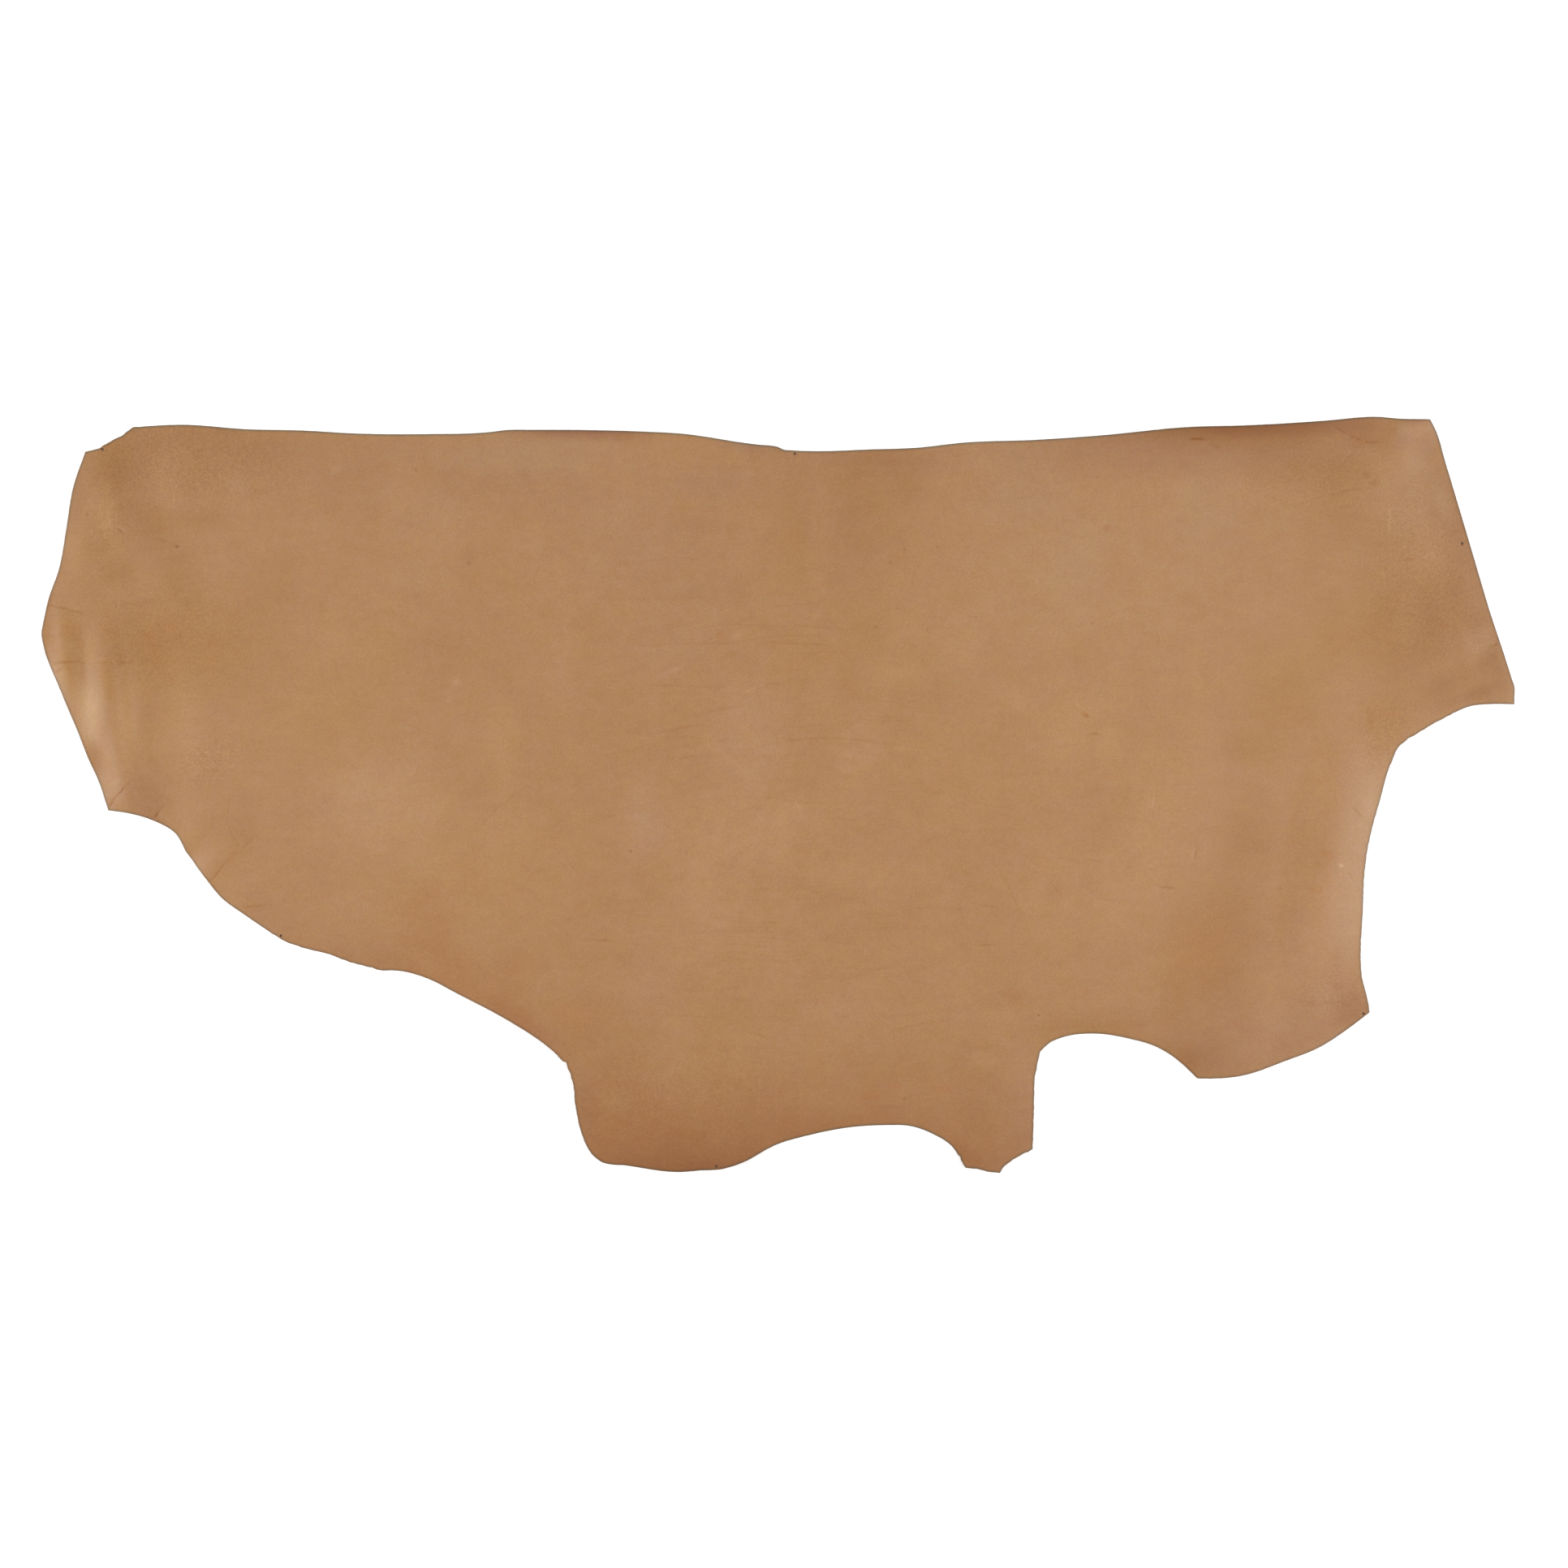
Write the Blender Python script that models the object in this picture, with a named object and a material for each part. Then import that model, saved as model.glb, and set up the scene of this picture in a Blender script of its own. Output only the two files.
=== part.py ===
"""A leather hide: one side of a tanned cattle hide, lying grain side up on a level surface.

Metres, +Z up. +X runs from the wrinkled neck end to the rump end, +Y from the belly to the
straight back edge. The origin is on the surface under the middle of the hide.
"""
import math
from collections import namedtuple

import bmesh
import bpy
from mathutils import Vector
from mathutils.geometry import delaunay_2d_cdt, interpolate_bezier
from mathutils.kdtree import KDTree

# Driving dimensions, in metres.
LENGTH = 2.300
WIDTH = 1.180
THICKNESS = 0.003
HOLE_DIAMETER = 0.0026
HOLE_SIDES = 10

# How finely the sheet is divided, in metres: along its cut edge, in its folds and where it is flat.
EDGE_STEP = 0.018
HANDLE_SHARE = 1 / 3
FINEST_CELL = 0.014
COARSEST_CELL = 0.112
CELLS_ACROSS_A_SWELL = 5
EDGE_CLEARANCE = 0.010
NET_INSIDE_LOOPS = 1
NET_TOLERANCE = 1e-6

# Edges sharper than this, in degrees, stay crisp: the rim of the cut edge and of the holes.
CRISP_ANGLE = 40

# The tables below are in millimetres, measured from the middle of the hide.
MILLIMETRE = 0.001

LEATHER_COLOR = (0.440, 0.238, 0.114, 1.0)
LEATHER_ROUGHNESS = 0.55

Point = namedtuple("Point", "x y")
Swell = namedtuple("Swell", "x y turn length width rise lean", defaults=(0.0,))

# The cut edge, one table for each stretch between two corners, going round the hide from the top
# of the neck down to the belly, along it to the rump and back along the spine. A stretch is one
# smooth curve through its points, and its last point is the first one of the next stretch.
OUTLINE = {
    "neck": (
        Point(-1081, 535),
        Point(-1100, 478),
        Point(-1110, 420),
        Point(-1124, 348),
        Point(-1138, 309),
        Point(-1146.5, 272),
        Point(-1150, 251),
        Point(-1147, 233),
        Point(-1120, 163),
        Point(-1091, 93),
        Point(-1076.5, 56),
        Point(-1060, 20),
    ),
    "neck_foot": (
        Point(-1045.5, -24),
        Point(-1018, -27.5),
        Point(-970, -42),
        Point(-940, -60.5),
    ),
    "throat": (
        Point(-925, -87),
        Point(-890, -134),
        Point(-870, -159),
    ),
    "chest": (
        Point(-857, -170),
        Point(-800, -209),
        Point(-770, -228),
        Point(-740, -238.5),
        Point(-700, -248.5),
        Point(-665, -262),
        Point(-640, -268),
    ),
    "chest_to_belly": (
        Point(-622, -273.5),
        Point(-590, -274.3),
        Point(-550, -285),
        Point(-500, -310),
        Point(-420, -352),
        Point(-370, -384),
        Point(-350, -400),
    ),
    "belly_nick": (
        Point(-336, -415),
    ),
    "belly_lobe": (
        Point(-330.5, -416.5),
        Point(-320.5, -450),
        Point(-315.5, -490),
        Point(-302, -540),
        Point(-290, -560.5),
        Point(-273, -573),
        Point(-240, -577),
        Point(-150, -587),
        Point(-120, -584.5),
        Point(-90, -583),
        Point(-60, -574.5),
        Point(0, -544),
        Point(50, -530),
        Point(110, -518.5),
        Point(165, -514.8),
        Point(210, -516.8),
        Point(245, -530),
        Point(270, -546),
    ),
    "flank_foot": (
        Point(291.5, -580.5),
        Point(314, -583.5),
        Point(326, -587),
    ),
    "flank_foot_side": (
        Point(346, -589),
        Point(355, -577.5),
        Point(375, -564),
    ),
    "flank_side": (
        Point(398, -552.5),
        Point(400, -500),
        Point(402, -440),
    ),
    "flank_bay": (
        Point(409.5, -400),
        Point(425, -386),
        Point(450, -376.3),
        Point(495, -372),
        Point(550, -380),
        Point(590, -392),
        Point(620, -410),
    ),
    "hind_shank": (
        Point(655, -442),
        Point(680, -442.3),
        Point(720, -438.5),
        Point(790, -415),
        Point(850, -390.5),
        Point(880, -371.5),
    ),
    "rump_bay": (
        Point(924.5, -339),
        Point(919.5, -313),
        Point(912.5, -285),
        Point(910.5, -235),
        Point(913.5, -180),
        Point(914.5, -140),
        Point(921.5, -80),
        Point(940, -9),
        Point(957.5, 50),
        Point(971, 76),
        Point(1002, 98),
        Point(1040, 119.5),
        Point(1083, 139),
        Point(1110, 141.7),
    ),
    "tail_end": (
        Point(1149.5, 141.7),
    ),
    "rump": (
        Point(1150, 167),
        Point(1130, 230),
        Point(1121, 257),
        Point(1078, 400),
        Point(1042, 520),
        Point(1027, 569),
    ),
    "spine_rear": (
        Point(1018, 586),
        Point(970, 586.7),
        Point(940, 589.3),
        Point(850, 583),
        Point(800, 579.6),
        Point(720, 575.6),
        Point(650, 574),
        Point(500, 560.5),
        Point(400, 554),
        Point(290, 549.7),
        Point(220, 542),
        Point(140, 539),
        Point(70, 536.5),
        Point(30, 537.2),
    ),
    "spine_step": (
        Point(10, 538.6),
    ),
    "spine_front": (
        Point(0, 542.8),
        Point(-50, 549),
        Point(-150, 563.4),
        Point(-210, 566.6),
        Point(-300, 569),
        Point(-390, 569.5),
        Point(-422, 569.4),
        Point(-450, 566.2),
        Point(-550, 563),
        Point(-660, 564),
        Point(-740, 568.5),
        Point(-830, 570.6),
        Point(-930, 577.6),
    ),
    "withers": (
        Point(-1008, 574),
        Point(-1024, 561.5),
        Point(-1048, 548.5),
    ),
    "poll": (
        Point(-1060, 540.5),
    ),
}

# Toggle holes, left by the pins that held the wet hide stretched while it dried.
HOLES = (
    Point(-1054, 539.5),
    Point(26.5, 533),
    Point(1068, 392.5),
    Point(-776, -220),
    Point(-96, -579),
    Point(914, -341.5),
)

# Swells: soft oval rises where the hide doesn't lie flat. turn is in degrees from +X, length and
# width are the whole oval, and rise is the height of its crest over the surface. A swell that
# leans has one long side and one short steep one.
SWELLS = {
    "neck_edge_ripple": Swell(-1109, 205, 98, 215, 60, 5.5),
    "neck_second_ripple": Swell(-1061, 150, 94, 290, 96, 9.0, 0.34),
    "neck_third_ripple": Swell(-992, 125, 95, 380, 120, 3.0),
    "neck_foot_ripple": Swell(-1031, 30, 97, 170, 72, 6.0, 0.3),
    "neck_foot_lift": Swell(-1000, -15, 150, 150, 80, 4.0),
    "neck_top_lift": Swell(-1075, 470, 80, 260, 130, 6.0),
    "throat_wave": Swell(-880, -105, 55, 210, 80, 5.0),
    "belly_edge_lift": Swell(-400, -385, -31, 320, 120, 6.0),
    "belly_lobe_lift": Swell(-105, -605, 2, 470, 210, 9.0),
    "flank_foot_lift": Swell(335, -600, 4, 210, 150, 8.0),
    "flank_bay_lift": Swell(560, -372, -14, 260, 80, 4.0),
    "hind_shank_lift": Swell(800, -425, 24, 300, 110, 5.0),
    "rump_bay_ridge": Swell(858, -120, 82, 520, 150, 10.0),
    "tail_end_lift": Swell(1120, 190, 104, 240, 110, 3.5),
    "spine_rear_lift": Swell(760, 615, 3, 760, 200, 9.0),
    "spine_corner_lift": Swell(985, 555, 65, 150, 90, 3.0),
    "spine_front_lift": Swell(-250, 590, -2, 560, 110, 5.0),
    "shoulder_swell": Swell(-640, 10, 20, 520, 320, 2.5),
    "back_swell": Swell(-330, 300, -8, 560, 300, 2.0),
    "middle_swell": Swell(-40, -80, 10, 600, 300, 3.0),
    "flank_swell": Swell(610, -30, 80, 420, 260, 3.0),
    "rump_swell": Swell(760, 330, 15, 480, 260, 2.0),
}


def clear_scene():
    for item in list(bpy.data.objects):
        bpy.data.objects.remove(item, do_unlink=True)


def leather_material():
    material = bpy.data.materials.new("leather")
    material.use_nodes = True
    shader = material.node_tree.nodes["Principled BSDF"]
    shader.inputs["Base Color"].default_value = LEATHER_COLOR
    shader.inputs["Roughness"].default_value = LEATHER_ROUGHNESS
    shader.inputs["Metallic"].default_value = 0.0
    return material


def curve_direction(before, here, after):
    """The way a smooth curve through three points runs at the middle one."""
    back = here - before
    ahead = after - here
    return (back.normalized() * ahead.length + ahead.normalized() * back.length).normalized()


def span_handles(points, index):
    """The two Bezier handles of the curve between a point and the next one."""
    start = points[index]
    end = points[index + 1]
    leaving = (end - start).normalized()
    arriving = (end - start).normalized()
    if index > 0:
        leaving = curve_direction(points[index - 1], start, end)
    if index + 2 < len(points):
        arriving = curve_direction(start, end, points[index + 2])
    reach = (end - start).length * HANDLE_SHARE
    return start + leaving * reach, end - arriving * reach


def stretch_curve(points):
    """Points along the smooth curve through a stretch, without its last point."""
    curve = []
    for index in range(len(points) - 1):
        start = points[index]
        end = points[index + 1]
        start_handle, end_handle = span_handles(points, index)
        steps = math.ceil((end - start).length / EDGE_STEP)
        curve.extend(interpolate_bezier(start, start_handle, end_handle, end, steps + 1)[:-1])
    return curve


def fitted(points):
    """The edge brought to the hide's length and width, centred on the origin."""
    low = Vector((min(p.x for p in points), min(p.y for p in points)))
    high = Vector((max(p.x for p in points), max(p.y for p in points)))
    middle = (low + high) / 2
    stretch = Vector((LENGTH / (high.x - low.x), WIDTH / (high.y - low.y)))
    return [Vector(((p.x - middle.x) * stretch.x, (p.y - middle.y) * stretch.y)) for p in points]


def cut_edge():
    """The whole outline, anticlockwise seen from above."""
    stretches = []
    for rows in OUTLINE.values():
        stretches.append([Vector(row) * MILLIMETRE for row in rows])
    edge = []
    for stretch, following in zip(stretches, stretches[1:] + stretches[:1]):
        edge.extend(stretch_curve(stretch + following[:1]))
    return fitted(edge)


def hole_edge(hole):
    """A small round loop about a toggle hole, anticlockwise seen from above."""
    centre = Vector(hole) * MILLIMETRE
    loop = []
    for side in range(HOLE_SIDES):
        angle = 2 * math.pi * side / HOLE_SIDES
        loop.append(centre + Vector((math.cos(angle), math.sin(angle))) * HOLE_DIAMETER / 2)
    return loop


def oval_distance(swell, x, y):
    """0 in the middle of a swell's oval and 1 on its rim, squared."""
    turn = math.radians(swell.turn)
    right = x - swell.x * MILLIMETRE
    up = y - swell.y * MILLIMETRE
    along = (right * math.cos(turn) + up * math.sin(turn)) / (swell.length * MILLIMETRE / 2)
    across = (up * math.cos(turn) - right * math.sin(turn)) / (swell.width * MILLIMETRE / 2)
    across += swell.lean * max(0.0, 1 - across ** 2)
    return along ** 2 + across ** 2


def relief(x, y):
    """Height of the hide's underside over the surface."""
    height = 0.0
    for swell in SWELLS.values():
        distance = oval_distance(swell, x, y)
        if distance < 1:
            height += swell.rise * MILLIMETRE * (1 - distance) ** 2
    return height


def grid_stride(x, y):
    """Every how many-th point of the finest grid is kept here: all of them on narrow swells."""
    cell = COARSEST_CELL
    for swell in SWELLS.values():
        if oval_distance(swell, x, y) < 1:
            cell = min(cell, swell.width * MILLIMETRE / CELLS_ACROSS_A_SWELL)
    stride = 1
    while stride * 2 * FINEST_CELL <= cell:
        stride *= 2
    return stride


def inner_points(edge):
    """A grid of even-sided triangles over the hide, fine on the swells and coarse where flat."""
    near_edge = KDTree(len(edge))
    for index, point in enumerate(edge):
        near_edge.insert(point.to_3d(), index)
    near_edge.balance()
    row_height = FINEST_CELL * math.sqrt(3) / 2
    rows = math.ceil(WIDTH / row_height / 2)
    columns = math.ceil(LENGTH / FINEST_CELL / 2) + rows
    points = []
    for row in range(-rows, rows + 1):
        y = row * row_height
        for column in range(-columns, columns + 1):
            x = (column + row / 2) * FINEST_CELL
            stride = grid_stride(x, y)
            if abs(x) > LENGTH / 2 or row % stride or column % stride:
                continue
            if near_edge.find((x, y, 0))[2] > EDGE_CLEARANCE:
                points.append(Vector((x, y)))
    return points


def flat_net():
    """The hide pressed flat: its points, and the triangles between its edge and its holes."""
    edge = cut_edge()
    points = []
    loops = []
    for loop in [edge] + [hole_edge(hole) for hole in HOLES]:
        loops.append([len(points) + index for index in range(len(loop))])
        points.extend(loop)
    points.extend(inner_points(edge))
    net = delaunay_2d_cdt(points, [], loops, NET_INSIDE_LOOPS, NET_TOLERANCE, True)
    places = net[0]
    triangles = net[2]
    loops_around = net[5]
    edge_only = [0]
    leather = [triangle for triangle, loop in zip(triangles, loops_around) if loop == edge_only]
    return places, leather


def hide_mesh():
    """One closed sheet: the underside laid over the swells, then drawn up by the thickness."""
    places, triangles = flat_net()
    bm = bmesh.new()
    verts = {}
    for triangle in triangles:
        for index in triangle:
            if index not in verts:
                x, y = places[index]
                verts[index] = bm.verts.new((x, y, relief(x, y)))
        bm.faces.new([verts[index] for index in triangle])
    grown = bmesh.ops.extrude_face_region(bm, geom=bm.faces[:])["geom"]
    top = [item for item in grown if isinstance(item, bmesh.types.BMVert)]
    bmesh.ops.translate(bm, vec=(0, 0, THICKNESS), verts=top)
    bmesh.ops.recalc_face_normals(bm, faces=bm.faces[:])
    mesh = bpy.data.meshes.new("hide")
    bm.to_mesh(mesh)
    bm.free()
    mesh.shade_smooth()
    mesh.set_sharp_from_angle(angle=math.radians(CRISP_ANGLE))
    return mesh


def add_hide():
    hide = bpy.data.objects.new("hide", hide_mesh())
    bpy.context.scene.collection.objects.link(hide)
    hide.data.materials.append(leather_material())


clear_scene()
add_hide()
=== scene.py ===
"""A leather hide: one side of a tanned cattle hide, lying grain side up, seen from straight above.

Metres, in the frame's own axes: +X to the rump end, +Y to the straight back edge, +Z up.
"""
import math
from collections import namedtuple

import bmesh
import bpy
import numpy as np
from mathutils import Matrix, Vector, noise
from mathutils.geometry import delaunay_2d_cdt, interpolate_bezier
from mathutils.kdtree import KDTree


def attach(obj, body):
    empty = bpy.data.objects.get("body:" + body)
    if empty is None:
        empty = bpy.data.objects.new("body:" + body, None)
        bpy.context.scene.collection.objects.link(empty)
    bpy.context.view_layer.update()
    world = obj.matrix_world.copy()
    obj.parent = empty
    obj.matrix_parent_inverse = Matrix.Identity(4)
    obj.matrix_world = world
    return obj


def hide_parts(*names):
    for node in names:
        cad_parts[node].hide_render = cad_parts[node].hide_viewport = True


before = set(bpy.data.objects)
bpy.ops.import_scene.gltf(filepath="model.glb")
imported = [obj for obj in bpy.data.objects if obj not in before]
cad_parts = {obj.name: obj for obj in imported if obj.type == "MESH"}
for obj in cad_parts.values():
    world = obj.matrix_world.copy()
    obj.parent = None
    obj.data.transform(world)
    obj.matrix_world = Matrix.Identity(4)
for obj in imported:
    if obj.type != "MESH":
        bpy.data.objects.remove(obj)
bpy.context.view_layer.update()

# ------------------------------------------------------------------------------------- The hide
# Cattle leather, vegetable tanned, 3 mm thick, cut round with a knife. It lies loose, grain side
# up: low waves stand along its edges where it dried stretched on toggles, and fine creases, pits
# and cloudy shades of the dye are what the skin itself had. Painted highlights and shade lie over
# the dye where the waves and lifted edges catch or lose the light, and painted shade darkens the
# creases, the holes and in part the rim.

MM = 0.001
THICKNESS = 3.0 * MM
ROUNDED = 0.45 * MM
EDGE_STEP = 3.2 * MM
CORNER_TURN = 24
GRAIN_NET = 7.6 * MM
FLESH_NET = 19 * MM
NET_INSIDE_LOOPS = 1
NET_TOLERANCE = 1e-7

Fold = namedtuple("Fold", "x y turn length width rise lean", defaults=(0.0,))
Rough = namedtuple("Rough", "x y reach ragged")
Patch = namedtuple("Patch", "x y turn length width light red yellow")

# Where the hide stands off the table, as soft ovals: millimetres and degrees, rise in the middle.
# A ripple that leans has its crest that share of its half width to one side.
FOLDS = {
    "neck_edge_ripple": Fold(-1109, 205, 98, 215, 60, 5.5),
    "neck_second_ripple": Fold(-1061, 150, 94, 290, 96, 9.0, 0.34),
    "neck_third_ripple": Fold(-992, 125, 95, 380, 120, 3.0),
    "neck_foot_ripple": Fold(-1031, 30, 97, 170, 72, 6.0, 0.3),
    "neck_foot_lift": Fold(-1000, -15, 150, 150, 80, 4.0),
    "neck_top_lift": Fold(-1075, 470, 80, 260, 130, 6.0),
    "throat_wave": Fold(-880, -105, 55, 210, 80, 5.0),
    "belly_edge_lift": Fold(-400, -385, -31, 320, 120, 6.0),
    "belly_lobe_lift": Fold(-105, -605, 2, 470, 210, 9.0),
    "flank_foot_lift": Fold(335, -600, 4, 210, 150, 8.0),
    "flank_bay_lift": Fold(560, -372, -14, 260, 80, 4.0),
    "hind_shank_lift": Fold(800, -425, 24, 300, 110, 5.0),
    "rump_bay_ridge": Fold(858, -120, 82, 520, 150, 10.0),
    "tail_end_lift": Fold(1120, 190, 104, 240, 110, 3.5),
    "spine_rear_lift": Fold(760, 615, 3, 760, 200, 9.0),
    "spine_corner_lift": Fold(985, 555, 65, 150, 90, 3.0),
    "spine_front_lift": Fold(-250, 590, -2, 560, 110, 5.0),
    "shoulder_swell": Fold(-640, 10, 20, 520, 320, 2.5),
    "back_swell": Fold(-330, 300, -8, 560, 300, 2.0),
    "middle_swell": Fold(-40, -80, 10, 600, 300, 3.0),
    "flank_swell": Fold(610, -30, 80, 420, 260, 3.0),
    "rump_swell": Fold(760, 330, 15, 480, 260, 2.0),
}

# Where the knife tore the edge rather than cut it.
EVEN_EDGE = 0.16
ROUGH_EDGES = (
    Rough(-318, -470, 70, 0.9),
    Rough(-640, -270, 40, 1.1),
    Rough(-765, -230, 30, 0.8),
    Rough(318, -588, 45, 1.3),
    Rough(400, -500, 90, 0.9),
    Rough(914, -180, 170, 0.7),
    Rough(1000, 95, 70, 0.9),
    Rough(-1035, 555, 45, 0.8),
    Rough(660, -440, 30, 0.6),
)

# Creases in the grain: how much painted shade darkens the line, in display steps (below 0 the
# line is paler), then its path in millimetres.
CREASES = {
    "neck_edge": (
        (16, (-1160, 303), (-1100, 288), (-1076, 282)),
        (8, (-1160, 250), (-1120, 250)),
        (20, (-1152, 200), (-1108, 207), (-1085, 208)),
        (13, (-1085, 208), (-1040, 207), (-990, 209)),
        (13, (-1129, 187), (-1120, 195), (-1104, 198)),
        (4, (-1052, 255), (-1032, 257), (-1014, 261)),
        (14, (-1032, 417), (-1020, 409)),
        (9, (-1034, 303), (-1029, 289)),
        (8, (-975, 401), (-960, 398), (-945, 393)),
        (4, (-788, 494), (-773, 472)),
        (16, (-605, 291), (-595, 281)),
    ),
    "neck_foot": (
        (28, (-1060, -52), (-1044, -22), (-1035, -7), (-1024, 5), (-1008, 25)),
        (31, (-991, -57), (-975, -38), (-959, -18)),
        (13, (-907, 73), (-887, 58)),
        (5, (-889, 47), (-859, 27)),
        (6, (-831, 12), (-852, -4), (-858, -30), (-852, -61), (-840, -81)),
        (-4, (-850, 92), (-833, 72), (-825, 60)),
        (21, (-899, -152), (-871, -118), (-859, -102)),
        (5, (-845, -91), (-823, -72), (-797, -47)),
        (15, (-835, -176), (-815, -173), (-800, -173)),
        (19, (-762, -224), (-755, -233)),
    ),
    "crest": (
        (5, (-255, 357), (-200, 366), (-150, 369), (-70, 369)),
        (6, (-280, 310), (-230, 306), (-180, 306), (-110, 309), (-50, 308)),
        (8, (-130, 260), (-95, 265), (-60, 266), (-20, 262)),
        (6, (-260, 229), (-180, 235), (-100, 237), (-60, 236)),
        (6, (-78, 212), (-62, 225)),
        (-4, (-118, 284), (-104, 300)),
        (-6, (-101, 286), (-90, 300)),
        (-4, (-86, 284), (-72, 297)),
        (-16, (-223, 93), (-208, 88)),
        (-13, (-56, 158), (-38, 166), (-20, 173)),
        (-4, (-46, 148), (-30, 178)),
        (-4, (-242, 2), (-215, 8), (-182, 18)),
        (-4, (-236, -14), (-205, -10), (-186, -2)),
        (-4, (-246, -34), (-200, -30)),
        (-11, (26, -12), (34, -22), (36, -38)),
    ),
    "back": (
        (4, (-30, 350), (15, 353), (60, 352), (110, 345)),
        (5, (-50, 313), (0, 314), (50, 312)),
        (8, (-50, 262), (0, 264), (50, 263), (110, 258), (160, 257)),
        (10, (-20, 238), (40, 236), (92, 232)),
        (6, (125, 428), (135, 425), (150, 427)),
        (4, (161, 408), (181, 401), (200, 398)),
    ),
    "rump_top": (
        (40, (641, 556), (652, 556), (665, 555)),
        (13, (670, 550), (688, 542)),
        (16, (865, 576), (886, 563), (902, 557), (921, 552)),
        (15, (915, 551), (940, 551)),
        (4, (915, 556), (902, 543), (889, 527), (877, 514)),
        (4, (937, 574), (963, 570), (995, 567)),
        (10, (801, 452), (862, 470), (912, 480), (940, 479)),
        (-18, (956, 454), (955, 425), (955, 400)),
        (-5, (857, 511), (857, 480), (858, 454)),
        (26, (975, 369), (983, 369), (992, 371)),
        (4, (900, 303), (960, 310), (1050, 306)),
        (18, (1109, 232), (1126, 237)),
    ),
    "ribs": (
        (7, (-271, 155), (-236, 164), (-201, 171)),
        (7, (-236, 170), (-180, 171), (-120, 169), (-64, 169)),
        (4, (-274, 154), (-220, 158), (-134, 158)),
        (6, (-236, 49), (-147, 58), (-64, 65)),
        (11, (-185, 98), (-150, 105), (-110, 110)),
        (4, (-190, 88), (-160, 90), (-130, 92)),
        (6, (-280, 60), (-250, 66), (-200, 75)),
        (6, (-483, -74), (-463, -49), (-425, -10), (-400, 8), (-350, 36)),
        (6, (-394, -131), (-375, -119), (-355, -116)),
        (4, (-480, 12), (-460, 15), (-440, 18)),
        (13, (-316, -225), (-280, -227), (-252, -228)),
        (4, (-245, -232), (-143, -238), (-85, -250), (-35, -263), (60, -298)),
        (7, (-275, -176), (-235, -167), (-200, -164), (-145, -164)),
        (4, (-600, 122), (-572, 108), (-545, 95)),
        (4, (-180, -193), (-125, -193), (-70, -192), (-30, -195)),
        (8, (-100, -257), (-65, -259), (-30, -259)),
        (6, (-180, -235), (-165, -238), (-150, -240)),
        (4, (-105, 100), (-85, 78), (-60, 62), (-30, 50)),
        (4, (-98, 84), (-70, 58), (-38, 36)),
    ),
    "navel": (
        (10, (-60, 70), (0, 82), (60, 89), (110, 87), (160, 81), (200, 76)),
        (8, (-40, -3), (10, -8), (60, -12), (90, -10)),
        (7, (70, -38), (95, -36), (130, -42)),
        (7, (100, -53), (136, -48), (142, -40)),
        (8, (155, -45), (178, -48), (200, -52)),
        (4, (130, -75), (148, -85), (165, -93)),
        (6, (200, 138), (230, 130), (260, 125)),
        (7, (300, -10), (330, -17), (370, -20)),
        (6, (324, -86), (344, -118), (364, -155), (384, -190)),
        (10, (-40, -147), (-10, -147)),
        (11, (50, -150), (80, -155)),
        (11, (-30, -196), (0, -201)),
        (10, (295, -168), (320, -173), (350, -178)),
        (5, (170, -167), (200, -169)),
        (8, (210, -177), (250, -175)),
        (15, (125, -273), (160, -272), (190, -268)),
        (11, (310, -236), (340, -234)),
        (-4, (58, 150), (62, 100)),
        (19, (469, 132), (477, 125), (486, 122)),
        (-14, (465, 155), (468, 145), (470, 136)),
        (6, (395, -98), (425, -135), (453, -174)),
        (22, (487, 95), (500, 95)),
        (21, (424, -136), (434, -140)),
        (7, (450, -165), (470, -180)),
    ),
    "flank": (
        (17, (594, -143), (607, -145), (620, -147)),
        (-19, (588, 0), (583, -25)),
        (21, (652, -85), (649, -100)),
        (11, (891, -15), (905, -28), (917, -38)),
        (-4, (903, -150), (903, -165)),
        (6, (888, -120), (898, -138)),
        (18, (775, -150), (790, -146)),
        (5, (665, -178), (678, -172)),
        (4, (480, -100), (497, -105)),
        (4, (935, 120), (948, 105), (960, 98)),
        (4, (930, 95), (945, 80), (955, 62)),
        (-4, (420, -348), (510, -349), (600, -348)),
        (9, (835, -330), (850, -326), (872, -324), (896, -330)),
        (4, (735, -375), (748, -385), (758, -400)),
        (-8, (934, 135), (941, 110), (947, 84)),
    ),
    "belly": (
        (7, (99, -292), (149, -275), (189, -267)),
        (4, (-200, -343), (-130, -346), (-80, -350), (-40, -362), (5, -386)),
        (5, (95, -347), (112, -345), (130, -342)),
        (6, (170, -372), (200, -362), (235, -356), (270, -352)),
        (13, (-41, -372), (-21, -378), (-1, -387)),
        (5, (110, -420), (135, -420), (160, -418)),
        (4, (130, -475), (150, -474)),
        (6, (130, -485), (165, -487), (200, -487)),
        (32, (-11, -548), (-11, -542)),
    ),
}
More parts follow.
